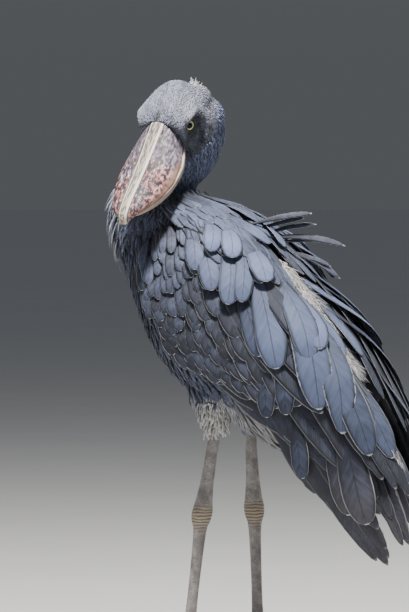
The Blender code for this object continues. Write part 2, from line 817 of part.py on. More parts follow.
def toe_rings(root, heading, length, thick, thin):
    """Flat-soled rings along a toe, with low knuckles."""
    across = Vector((-heading.y, heading.x, 0))
    start = math.radians(270.0 - 180.0 / TOE_SIDES)
    rings = []
    for share, swell in ((0.0, 1.0), (0.22, 0.96), (0.30, 1.10), (0.55, 0.94), (0.64, 1.12),
                         (0.86, 0.95), (0.93, 1.08), (1.0, 0.92)):
        radius = (thick + (thin - thick) * share) * swell
        flat = radius * math.cos(math.pi / TOE_SIDES)
        centre = root + heading * (length * share) + Vector((0, 0, flat))
        rings.append(
            ellipse(centre, across * radius, Vector((0, 0, radius)), TOE_SIDES, start)
        )
    return rings


def build_foot(side_name, side, ankle):
    """A foot with three toes ahead and one behind, and its separate claws."""
    root = Vector((side * ankle[0], ankle[1], 0.0))
    top = ankle[2] - GAP
    knob = tube(
        side_name + "_foot",
        [(root.x, root.y, z) for z in (top, top * 0.6, 0.003)],
        [(0.0126, 0.0134), (0.0145, 0.0155), (0.0120, 0.0125)],
        LEG_SIDES,
        "leg_scale",
    )
    pieces = []
    for toe, degrees, length, thick, thin in TOES:
        turn = math.radians(degrees)
        heading = Vector((side * math.sin(turn), -math.cos(turn), 0))
        pieces.append(loft("toe", toe_rings(root, heading, length, thick, thin), "leg_scale"))
        build_claw(f"{side_name}_{toe}_claw", root + heading * (length + GAP), heading, thin)
    join(knob, pieces, solver="MANIFOLD")
    return knob


def build_claw(name, root, heading, toe_radius):
    """A claw that tapers and curves down to the floor from the end of its toe."""
    across = Vector((-heading.y, heading.x, 0))
    rings = []
    for share, size, height in ((0.0, 0.78, 0.92), (0.35, 0.62, 0.98), (0.7, 0.38, 0.72), (1.0, 0.10, 0.20)):
        radius = toe_radius * size
        centre = root + heading * (CLAW_LENGTH * share) + Vector((0, 0, toe_radius * height))
        rings.append(ellipse(centre, across * radius, Vector((0, 0, radius)), 6))
    return loft(name, rings, "claw_horn")


def build_leg(side_name, side, hock, ankle):
    """One leg below the feathers: shank, tarsus, foot and claws."""
    shank_top = Vector(THIGH_END) + Vector((0, 0, -GAP))
    limb(side_name + "_shank", side, shank_top, hock, SHANK)
    limb(side_name + "_tarsus", side, hock, ankle, TARSUS, drop=GAP)
    build_foot(side_name, side, ankle)


def main():
    """Builds every node, then sets the figure over the origin."""
    clear_scene()
    torso, neck, torso_space = build_trunk_and_neck()
    head, head_space = build_head()
    upper, lower, bill_spaces = build_bill()
    eyes = [build_eye("left_eye", 1), build_eye("right_eye", -1)]
    eye_spaces = [cutter_of(eye) for eye in eyes]
    cut(neck, head_space, *eye_spaces, *bill_spaces)
    cut(head, *eye_spaces)
    for side_name, side, spread, hock, ankle in (
        ("left", 1, 1.0, LEFT_HOCK, LEFT_ANKLE),
        ("right", -1, 0.96, RIGHT_HOCK, RIGHT_ANKLE),
    ):
        cut(build_wing(side_name + "_wing", side, spread), torso_space)
        cut(build_thigh(side_name + "_thigh", side), torso_space)
        build_leg(side_name, side, hock, ankle)
    cut(build_tail(), torso_space)
    for obj in bpy.data.objects:
        obj.data.transform(Matrix.Translation(STANCE_SHIFT))


main()
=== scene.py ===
"""Looks of a life-size standing shoebill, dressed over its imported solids.

The bird faces -Y with its left side at +X. One skin lies inside the plumage, feathers are grown
on it as solid blades, and the bill, eyes, legs and claws are pieces of their own.
"""

import logging
import math
from collections.abc import Callable, Iterator, Sequence
from dataclasses import dataclass, field
from enum import Enum
from functools import cache

import bpy
import numpy as np
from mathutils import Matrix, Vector
from mathutils.bvhtree import BVHTree

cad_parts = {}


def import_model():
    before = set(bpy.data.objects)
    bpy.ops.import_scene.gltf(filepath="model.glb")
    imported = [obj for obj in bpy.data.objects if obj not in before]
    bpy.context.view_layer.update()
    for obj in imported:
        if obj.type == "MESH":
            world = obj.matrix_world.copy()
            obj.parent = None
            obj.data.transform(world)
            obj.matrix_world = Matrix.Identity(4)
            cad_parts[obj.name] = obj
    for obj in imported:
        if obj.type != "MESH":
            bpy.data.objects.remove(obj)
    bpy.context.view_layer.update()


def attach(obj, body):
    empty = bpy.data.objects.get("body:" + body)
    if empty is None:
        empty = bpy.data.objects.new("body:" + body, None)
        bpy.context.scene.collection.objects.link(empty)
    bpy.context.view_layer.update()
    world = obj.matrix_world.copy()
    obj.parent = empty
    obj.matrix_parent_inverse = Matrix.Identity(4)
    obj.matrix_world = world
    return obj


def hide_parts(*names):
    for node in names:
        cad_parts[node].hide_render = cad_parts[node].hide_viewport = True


Array = np.ndarray
Piece, Material, NodeTree = bpy.types.Object, bpy.types.Material, bpy.types.NodeTree
Triple = tuple[float, float, float]
Keys = Sequence[tuple[float, ...]]

LOG = logging.getLogger("shoebill")

# The solids stand moved by this, so that the middle of their base is the origin.
STANCE = np.array((-0.017, -0.063, 0.0))

# The bird's left, its back and up, as it stands.
SIDEWAYS = np.array((1.0, 0.0, 0.0))
LENGTHWISE = np.array((0.0, 1.0, 0.0))
UPWARD = np.array((0.0, 0.0, 1.0))

# Directions of the trunk, which is steep as the bird stands.
TRUNK_PITCH = math.radians(55.0)
SHOULDER = np.array((0.0, -0.09, 0.73)) + STANCE
BACKWARD = np.array((0.0, math.cos(TRUNK_PITCH), -math.sin(TRUNK_PITCH)))
DORSAL = np.array((0.0, math.sin(TRUNK_PITCH), math.cos(TRUNK_PITCH)))

# Directions of the head: forward along the bill, left and up.
HEAD_CENTRE = np.array((0.032, -0.106, 0.9655)) + STANCE
BILL_WAY = np.array((0.718, -0.005, -0.697)) / np.linalg.norm((0.718, -0.005, -0.697))
HEAD_LEFT = np.array((-0.058, 0.995, -0.067))
HEAD_LEFT = HEAD_LEFT - BILL_WAY * HEAD_LEFT.dot(BILL_WAY)
HEAD_LEFT = HEAD_LEFT / np.linalg.norm(HEAD_LEFT)
HEAD_UP = np.cross(BILL_WAY, HEAD_LEFT)

SIDES = (("left", 1), ("right", -1))

# Where the bill leaves the face, its length, and half its keel's width with how much that narrows.
BILL_FACE = 0.0554
BILL_LENGTH = 0.204
KEEL_HALF = 0.0105
KEEL_NARROWS = 0.0045

# Each nostril's distance from the face and from the middle of the bill.
NOSTRIL_OUT = 0.016
NOSTRIL_ASIDE = 0.015

# Skin folds at the hock, in radians to a metre of height.
FOLD_WAVES = 1100.0

# The level way from the bird to the viewer, and the viewer's right.
TOWARDS_VIEW = np.array((0.866, 0.5, 0.0))
VIEW_RIGHT = np.array((-0.5, 0.866, 0.0))


class Slot(Enum):
    """Material slots of the record."""

    PLUMAGE = "plumage"
    DOWN = "down"
    BILL = "bill_horn"
    EYE = "eye"
    LEG = "leg_scale"
    CLAW = "claw_horn"


def unit(vectors: Array) -> Array:
    """Vectors of length one, along the last axis."""
    return vectors / np.maximum(np.linalg.norm(vectors, axis=-1, keepdims=True), 1e-12)


def ease(low: float, high: float, values: Array) -> Array:
    """Zero at low, one at high, and smooth between them."""
    share = np.clip((np.asarray(values, float) - low) / (high - low), 0.0, 1.0)
    return share * share * (3 - 2 * share)


def through(keys: Keys, column: int, at: Array) -> Array:
    """Values of one column of keys, on a smooth curve through the keys.

    Args:
        keys: rows whose first number is the place.
        column: which number of a row is wanted.
        at: the places asked for.

    Returns:
        One value for each place.
    """
    table = np.array(sorted(keys), float)
    places, values = table[:, 0], table[:, column]
    at = np.clip(np.asarray(at, float), places[0], places[-1])
    spot = np.clip(np.searchsorted(places, at, side="right") - 1, 0, len(places) - 2)
    slopes = np.empty(len(places))
    slopes[1:-1] = (values[2:] - values[:-2]) / (places[2:] - places[:-2])
    slopes[0] = (values[1] - values[0]) / (places[1] - places[0])
    slopes[-1] = (values[-1] - values[-2]) / (places[-1] - places[-2])
    span = places[spot + 1] - places[spot]
    t = (at - places[spot]) / span
    return (
        values[spot] * (1 + 2 * t) * (1 - t) ** 2
        + slopes[spot] * span * t * (1 - t) ** 2
        + values[spot + 1] * t * t * (3 - 2 * t)
        - slopes[spot + 1] * span * t * t * (1 - t)
    )


def ripple(points: Array, scale: float, seed: int) -> Array:
    """A smooth random field between -1 and 1, as a sum of waves in seeded directions."""
    chance = np.random.default_rng(seed)
    total = np.zeros(points.shape[:-1])
    for _ in range(7):
        way = unit(chance.normal(size=3)) * scale * chance.uniform(0.6, 1.6)
        total += np.sin(points @ way + chance.uniform(0, 2 * math.pi))
    return np.clip(total / 3.2, -1.0, 1.0)


def head_point(forward: Array, left: Array, up: Array) -> Array:
    """Points given in the head's own directions."""
    forward, left, up = np.broadcast_arrays(forward, left, up)
    return (
        HEAD_CENTRE
        + forward[..., None] * BILL_WAY
        + left[..., None] * HEAD_LEFT
        + up[..., None] * HEAD_UP
    )


def trunk_point(behind: Array, up: Array, left: Array) -> Array:
    """Points given in the trunk's own directions, from the shoulder."""
    behind, up, left = np.broadcast_arrays(behind, up, left)
    return (
        SHOULDER + BACKWARD * behind[..., None] + DORSAL * up[..., None] + SIDEWAYS * left[..., None]
    )


def read(items: object, key: str, each: int, kind: type = np.float32) -> Array:
    """One property of all of a mesh's items, as rows of so many numbers each."""
    values = np.empty(len(items) * each, kind)
    items.foreach_get(key, values)
    return values.reshape(-1, each)


def write(items: object, key: str, values: Array, kind: type = np.float32) -> None:
    """Sets one property of all of a mesh's items."""
    items.foreach_set(key, values.reshape(-1).astype(kind))


def looks_of(tone: object, rim: object, pale: object, brown: object) -> Array:
    """Brightness, pale rim, paleness and brown of some feathers, as one row for each."""
    return np.stack(np.broadcast_arrays(tone, rim, pale, brown), -1)


def deselect() -> None:
    """Leaves nothing selected, so that an operator acts on new pieces only."""
    if bpy.context.object and bpy.context.object.mode != "OBJECT":
        bpy.ops.object.mode_set(mode="OBJECT")
    bpy.ops.object.select_all(action="DESELECT")


def pick(*pieces: Piece) -> None:
    """Selects these pieces alone and makes the first the active one."""
    deselect()
    for piece in pieces:
        piece.select_set(True)
    bpy.context.view_layer.objects.active = pieces[0]


def wrap_grid(name: str, rings: Array, closed_ends: bool = True) -> Piece:
    """A grid primitive wrapped round rings of points, with its seam and poles merged.

    Args:
        name: the piece's name.
        rings: places as (ring, point of the ring, 3).
        closed_ends: adds a point at the middle of each end ring.

    Returns:
        The closed piece, with its faces outwards.
    """
    if closed_ends:
        first, last = rings[:1].mean(axis=1), rings[-1:].mean(axis=1)
        count = rings.shape[1]
        rings = np.concatenate(
            [np.repeat(first[:, None], count, 1), rings, np.repeat(last[:, None], count, 1)]
        )
    rings = np.concatenate([rings, rings[:, :1]], axis=1)
    deselect()
    bpy.ops.mesh.primitive_grid_add(
        x_subdivisions=rings.shape[1] - 1, y_subdivisions=rings.shape[0] - 1, size=1.0
    )
    piece = bpy.context.object
    piece.name = name
    write(piece.data.vertices, "co", rings)
    bpy.ops.object.mode_set(mode="EDIT")
    bpy.ops.mesh.select_all(action="SELECT")
    bpy.ops.mesh.remove_doubles(threshold=1e-6)
    bpy.ops.mesh.normals_make_consistent(inside=False)
    bpy.ops.object.mode_set(mode="OBJECT")
    return piece


def ball(radius: float, place: Array, turned: Sequence[float] = (0.0, 0.0, 0.0)) -> Piece:
    """A round piece, turned by these angles."""
    deselect()
    bpy.ops.mesh.primitive_uv_sphere_add(
        segments=48, ring_count=32, radius=radius, location=place, rotation=turned
    )
    bpy.ops.object.transform_apply(location=True, rotation=True, scale=True)
    return bpy.context.object


def ellipse_rings(
    centres: Array, across: Array, along: Array, sides: int, start: float = 0.0
) -> Array:
    """Rings of points on ellipses with the two half axes as vectors."""
    turns = start + 2 * math.pi * np.arange(sides) / sides
    return (
        centres[:, None]
        + across[:, None] * np.cos(turns)[None, :, None]
        + along[:, None] * np.sin(turns)[None, :, None]
    )


def apply_modifier(piece: Piece, kind: str, **settings: object) -> None:
    """Adds one modifier to a piece and applies it."""
    pick(piece)
    modifier = piece.modifiers.new(kind.lower(), kind)
    for setting, value in settings.items():
        setattr(modifier, setting, value)
    bpy.ops.object.modifier_apply(modifier=modifier.name)


def fuse(name: str, pieces: Sequence[Piece], voxel: float) -> Piece:
    """Joins overlapping closed pieces into one smooth closed piece."""
    pick(*pieces)
    bpy.ops.object.join()
    piece = bpy.context.object
    piece.name = name
    apply_modifier(piece, "REMESH", mode="VOXEL", voxel_size=voxel, use_smooth_shade=True)
    apply_modifier(piece, "SMOOTH", factor=0.5, iterations=4)
    return piece


def coordinates(piece: Piece) -> Array:
    """The places of a piece's vertices."""
    return read(piece.data.vertices, "co", 3).astype(float)


def set_coordinates(piece: Piece, places: Array) -> None:
    """Moves a piece's vertices."""
    write(piece.data.vertices, "co", places)
    piece.data.update()


def finish_piece(
    piece: Piece,
    material: Material,
    replaced: Sequence[str] = (),
    smooth: bool = True,
) -> Piece:
    """Dresses a piece, lets it ride on the bird and hides the imported parts that it stands for."""
    piece.data.materials.clear()
    piece.data.materials.append(material)
    piece.data.name = piece.name
    if smooth:
        piece.data.shade_smooth()
    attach(piece, "root")
    if replaced:
        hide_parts(*replaced)
    LOG.info("%s: %d faces", piece.name, len(piece.data.polygons))
    return piece


@dataclass
class Trunk:
    """The trunk and neck under the feathers, as stations from the tail up to the head."""

    # Distance behind the shoulder, height of the middle, half width, half depth.
    stations: Keys = (
        (0.485, 0.022, 0.016, 0.012),
        (0.47, 0.02, 0.036, 0.028),
        (0.44, 0.018, 0.056, 0.046),
        (0.4, 0.01, 0.078, 0.067),
        (0.33, 0.0, 0.106, 0.095),
        (0.25, -0.012, 0.128, 0.118),
        (0.16, -0.02, 0.138, 0.13),
        (0.08, -0.014, 0.132, 0.133),
        (0.0, -0.017, 0.11, 0.114),
        (-0.05, -0.028, 0.088, 0.096),
    )
    # Middle of each ring of the neck, half width, half depth and forward lean in degrees.
    neck: Keys = (
        (-0.012, -0.169, 0.792, 0.074, 0.083, 24.0),
        (-0.023, -0.171, 0.826, 0.067, 0.078, 10.0),
        (-0.03, -0.147, 0.862, 0.063, 0.071, -6.0),
        (-0.032, -0.121, 0.898, 0.06, 0.067, -14.0),
        (-0.029, -0.107, 0.934, 0.059, 0.064, -10.0),
        (-0.02, -0.105, 0.968, 0.055, 0.057, -2.0),
    )
    coat: float = 0.003
    sides: int = 72

    def rings(self) -> Array:
        """Rings of the trunk and neck, set in by the depth of the coat."""
        rows = []
        for behind, height, wide, deep in self.stations:
            rows.append((*trunk_point(behind, height, 0.0), wide, deep, 90.0 - math.degrees(TRUNK_PITCH)))
        for x, y, z, wide, deep, lean in self.neck:
            rows.append((*(np.array((x, y, z)) + STANCE), wide, deep, lean))
        table = np.array(rows)
        keys = [(float(n), *row) for n, row in enumerate(table)]
        at = np.linspace(0, len(keys) - 1, 90)
        x, y, z, wide, deep, lean = (through(keys, column, at) for column in range(1, 7))
        lean = np.radians(lean)
        depth = np.stack([np.zeros_like(lean), np.cos(lean), np.sin(lean)], -1)
        wide = np.maximum(wide - self.coat, 0.004)
        deep = np.maximum(deep - self.coat, 0.004)
        centres = np.stack([x, y, z], -1)
        return ellipse_rings(centres, wide[:, None] * SIDEWAYS, deep[:, None] * depth, self.sides)

    def holds(self, points: Array) -> Array:
        """True for points of the trunk's own surface, and not of a wing's arm."""
        away = points - SHOULDER
        behind = away @ BACKWARD
        height, wide, deep = (through(self.stations, n, behind) for n in (1, 2, 3))
        aside = (points[:, 0] - STANCE[0]) / wide
        above = (away @ DORSAL - height) / deep
        return aside**2 + above**2 < 1.1


@dataclass
class Skull:
    """The head under its short feathers."""

    # Forward, half width, height above and below the middle.
    stations: Keys = (
        (-0.064, 0.01, 0.01, 0.011),
        (-0.06, 0.024, 0.025, 0.026),
        (-0.047, 0.041, 0.041, 0.043),
        (-0.026, 0.052, 0.048, 0.054),
        (0.0, 0.0565, 0.05, 0.058),
        (0.02, 0.0565, 0.049, 0.06),
        (0.036, 0.055, 0.047, 0.06),
        (0.048, 0.051, 0.04, 0.058),
        (0.055, 0.047, 0.035, 0.056),
    )
    # Swells and hollows on each side: forward, up, how far out, spread forward and up.
    swells: Keys = (
        (0.0245, 0.0, -0.01, 0.017, 0.015),
        (0.023, 0.021, 0.0105, 0.022, 0.008),
        (-0.02, -0.018, 0.0045, 0.016, 0.022),
        (0.04, -0.016, -0.0035, 0.01, 0.022),
        (-0.004, 0.002, 0.002, 0.008, 0.026),
    )
    # Lobes of the cowl on each side: forward, left, up and radius.
    lobes: Keys = (
        (-0.045, 0.026, -0.008, 0.032),
        (-0.036, 0.031, -0.044, 0.043),
        (-0.024, 0.034, -0.075, 0.037),
    )
    coat: float = 0.003
    sides: int = 96

    def cowl(self) -> list[Piece]:
        """Round lobes of the full cowl behind the cheeks, which the skin is fused with."""
        found = []
        for forward, left, up, radius in self.lobes:
            for side in (1, -1):
                place = head_point(forward, side * left, up)
                found.append(ball(radius - self.coat, place))
        return found

    def rings(self) -> Array:
        """Rings round the head from its back to the root of the bill."""
        forward = np.linspace(-0.064, 0.055, 64)[:, None]
        wide = through(self.stations, 1, forward) - self.coat
        above = through(self.stations, 2, forward) - self.coat
        below = through(self.stations, 3, forward) - self.coat
        turns = 2 * math.pi * np.arange(self.sides)[None, :] / self.sides
        left = wide * np.cos(turns)
        up = np.where(np.sin(turns) > 0, above, below) * np.sin(turns)
        for at, high, swell, long, tall in self.swells:
            near = np.exp(-(((forward - at) / long) ** 2) - ((up - high) / tall) ** 2)
            left = left + swell * near * np.clip(left / 0.02, -1.0, 1.0)
        lobes = np.exp(-(((forward - 0.04) / 0.014) ** 2)) * ease(0.0, 0.02, up)
        up = up + 0.0022 * lobes * (np.abs(np.sin(left * 75)) - 0.45)
        return head_point(forward, left, up)


@dataclass
class WingSheet:
    """The surface that the folded wings lie on, over the back and flanks."""

    # Distance behind the shoulder, half width, half height, height of the middle, hump.
    stations: Keys = (
        (-0.06, 0.09, 0.092, -0.028, 0.006),
        (0.0, 0.12, 0.118, -0.018, 0.014),
        (0.06, 0.144, 0.136, -0.016, 0.024),
        (0.12, 0.155, 0.146, -0.016, 0.032),
        (0.2, 0.158, 0.15, -0.012, 0.038),
        (0.3, 0.15, 0.146, 0.0, 0.042),
        (0.4, 0.132, 0.132, 0.014, 0.042),
        (0.5, 0.11, 0.116, 0.028, 0.038),
        (0.6, 0.086, 0.098, 0.036, 0.03),
        (0.7, 0.062, 0.078, 0.04, 0.02),
        (0.8, 0.044, 0.056, 0.04, 0.006),
    )
    # Lower and upper edges of the arm, as turns from the ridge, by distance behind the shoulder.
    arm: Keys = (
        (0.01, 96.0, 44.0),
        (0.04, 106.0, 24.0),
        (0.1, 110.0, 13.0),
        (0.18, 99.0, 11.0),
        (0.26, 91.0, 14.0),
        (0.34, 85.0, 26.0),
        (0.4, 83.0, 50.0),
        (0.44, 83.0, 78.0),
    )

    def point(self, behind: Array, turn: Array, side: int, lift: Array) -> Array:
        """Points over the sheet.

        Args:
            behind: distances behind the shoulder.
            turn: degrees from the ridge of the back down the flank.
            side: 1 for the left wing and -1 for the right.
            lift: heights over the sheet.

        Returns:
            The points.
        """
        behind, turn, lift = np.broadcast_arrays(behind, turn, lift)
        wide, high, middle, hump = (through(self.stations, n, behind) for n in (1, 2, 3, 4))
        sine, cosine = np.sin(np.radians(turn)), np.cos(np.radians(turn))
        across = wide * np.sign(sine) * np.abs(sine) ** 0.85
        over = high * np.sign(cosine) * np.abs(cosine) ** 0.85
        over = over + np.where(cosine > 0, hump * (2 * sine * cosine) ** 2, 0.0)
        out = unit(
            SIDEWAYS * (side * sine / wide)[..., None] + DORSAL * (cosine / high)[..., None]
        )
        return trunk_point(behind, middle + over, side * across) + out * lift[..., None]

    def cover(self, points: Array) -> Array:
        """One where the folded wings hide a point of the body, and zero where they don't."""
        away = points - SHOULDER
        behind = away @ BACKWARD
        wide, high, middle = (through(self.stations, n, behind) for n in (1, 2, 3))
        aside = np.abs(points[:, 0] - STANCE[0]) / wide
        turn = np.degrees(np.arctan2(aside, (away @ DORSAL - middle) / high))
        inside = (behind > 0.1) & (behind < 0.43) & (turn < 84)
        return inside & (turn > ease(0.42, 0.5, behind) * 20)

    def arm_rings(self, side: int) -> Array:
        """Rings along the arm of a wing, over and under."""
        behind = np.linspace(0.012, 0.438, 48)[:, None]
        low, high = through(self.arm, 1, behind), through(self.arm, 2, behind)
        share = np.linspace(0, 1, 30)[None, :]
        turns = low + (high - low) * share
        over = self.point(behind, turns, side, -0.003)
        under = self.point(behind, turns[:, ::-1], side, -0.01)
        return np.concatenate([over, under], axis=1)


@dataclass
class Thigh:
    """The feathered upper legs."""

    hip: Triple = (0.062, 0.002, 0.5)
    end: Triple = (0.066, -0.001, 0.384)
    # Share of the way down, half width, half depth.
    stations: Keys = (
        (0.0, 0.046, 0.06),
        (0.35, 0.04, 0.05),
        (0.62, 0.03, 0.036),
        (0.85, 0.02, 0.023),
        (1.0, 0.012, 0.0135),
    )
    coat: float = 0.0025

    def axis(self, share: Array, side: int) -> Array:
        """Points on the middle line of one thigh."""
        hip, end = np.array(self.hip), np.array(self.end)
        return (hip + (end - hip) * share[..., None]) * (side, 1, 1) + STANCE

    def rings(self, side: int) -> Array:
        """Rings down one thigh."""
        share = np.linspace(0, 1, 26)
        wide = through(self.stations, 1, share) - self.coat
        deep = through(self.stations, 2, share) - self.coat
        centres = self.axis(share, side)
        return ellipse_rings(
            centres, wide[:, None] * SIDEWAYS, deep[:, None] * LENGTHWISE, 40
        )

    def near(self, points: Array) -> Array:
        """How much each point belongs to a thigh, from zero to one."""
        away = np.abs(points[:, 0] - STANCE[0]) - 0.064
        aside = np.hypot(away, points[:, 1] - STANCE[1])
        return ease(0.075, 0.055, aside) * ease(0.48, 0.455, points[:, 2])


@dataclass
class Skin:
    """One closed skin for the trunk, neck, head, thighs and the arms of the wings."""

    trunk: Trunk
    skull: Skull
    sheet: WingSheet
    thigh: Thigh
    eyes: "Eyes"
    voxel: float = 0.0042
    piece: Piece = field(init=False)
    places: Array = field(init=False)
    normals: Array = field(init=False)
    corners: Array = field(init=False)
    seats: Array = field(init=False)
    tree: BVHTree = field(init=False)

    def build(self) -> None:
        """Makes the skin, unwraps it and keeps what the feathers need of it."""
        lofts = [
            wrap_grid("trunk", self.trunk.rings()),
            wrap_grid("skull", self.skull.rings()),
            wrap_grid("tail_root", self.tail_rings()),
        ]
        for side in (1, -1):
            lofts.append(wrap_grid("thigh", self.thigh.rings(side)))
            lofts.append(wrap_grid("arm", self.sheet.arm_rings(side)))
        self.piece = fuse("skin", lofts + self.skull.cowl(), self.voxel)
        self.unwrap()
        self.measure()

    def tail_rings(self) -> Array:
        """Rings of the short root that the tail feathers grow from."""
        behind = np.linspace(0.43, 0.508, 10)
        centres = trunk_point(behind, 0.018, 0.0)
        wide = np.interp(behind, (0.43, 0.47, 0.508), (0.026, 0.026, 0.018))
        deep = np.interp(behind, (0.43, 0.47, 0.508), (0.01, 0.0075, 0.0035))
        return ellipse_rings(centres, wide[:, None] * SIDEWAYS, deep[:, None] * DORSAL, 24)

    def unwrap(self) -> None:
        """Lays the skin's own shape out flat in the map that the coat shares."""
        pick(self.piece)
        self.piece.data.uv_layers.new(name="OFBake")
        bpy.ops.object.mode_set(mode="EDIT")
        bpy.ops.mesh.select_all(action="SELECT")
        bpy.ops.uv.smart_project(angle_limit=math.radians(72), island_margin=0.004)
        bpy.ops.object.mode_set(mode="OBJECT")

    def measure(self) -> None:
        """Reads the skin as triangles, with a smooth normal and a place in the map for each."""
        mesh = self.piece.data
        mesh.calc_loop_triangles()
        self.corners = read(mesh.loop_triangles, "vertices", 3, np.int32)
        self.places = coordinates(self.piece)
        self.normals = read(mesh.vertices, "normal", 3).astype(float)
        layout = read(mesh.uv_layers["OFBake"].data, "uv", 2)
        self.seats = layout[read(mesh.loop_triangles, "loops", 3, np.int32)].mean(axis=1)
        self.tree = BVHTree.FromPolygons(self.places.tolist(), self.corners.tolist())

    def nearest(self, point: Sequence[float]) -> tuple[Vector, int]:
        """The place on the skin nearest to a point, and its triangle."""
        place, _, triangle, _ = self.tree.find_nearest(point)
        return place, triangle

    def seats_of(self, points: Array) -> Array:
        """Places on the map of the triangles nearest to points."""
        return self.seats[[self.nearest(point)[1] for point in points]]

    def normal_of(self, triangles: Array) -> Array:
        """Smooth outward directions at some triangles."""
        return unit(self.normals[self.corners[triangles]].sum(axis=1))

    def scatter(
        self, spacing: Callable[[Array], Array], seed: int, tries: int
    ) -> tuple[Array, Array]:
        """Points spread evenly over part of the skin.

        Args:
            spacing: gives for places the least distance between points, or zero where none
                grow.
            seed: starts the random draw.
            tries: how many points are tried.

        Returns:
            The points and their triangles.
        """
        chance = np.random.default_rng(seed)
        a, b, c = (self.places[self.corners[:, n]] for n in range(3))
        middles = (a + b + c) / 3
        gaps = spacing(middles)
        area = np.linalg.norm(np.cross(b - a, c - a), axis=1)
        weight = np.where(gaps > 0, area / np.maximum(gaps, 1e-4) ** 2, 0.0)
        chosen = chance.choice(len(middles), size=tries, p=weight / weight.sum())
        u, v = chance.random((2, tries, 1))
        flip = (u + v) > 1
        u, v = np.where(flip, 1 - u, u), np.where(flip, 1 - v, v)
        points = a[chosen] * (1 - u - v) + b[chosen] * u + c[chosen] * v
        cell = float(gaps[gaps > 0].max())
        taken: dict[tuple[int, int, int], list[int]] = {}
        kept: list[int] = []
        cells = np.floor(points / cell).astype(int).tolist()
        near = [(i, j, k) for i in (-1, 0, 1) for j in (-1, 0, 1) for k in (-1, 0, 1)]
        spots, least = points.tolist(), (gaps[chosen] ** 2).tolist()
        for n, (x, y, z) in enumerate(cells):
            px, py, pz = spots[n]
            beside = (m for i, j, k in near for m in taken.get((x + i, y + j, z + k), ()))
            if all(
                (px - spots[m][0]) ** 2 + (py - spots[m][1]) ** 2 + (pz - spots[m][2]) ** 2 >= least[n]
                for m in beside
            ):
                taken.setdefault((x, y, z), []).append(n)
                kept.append(n)
        return points[kept], chosen[kept]


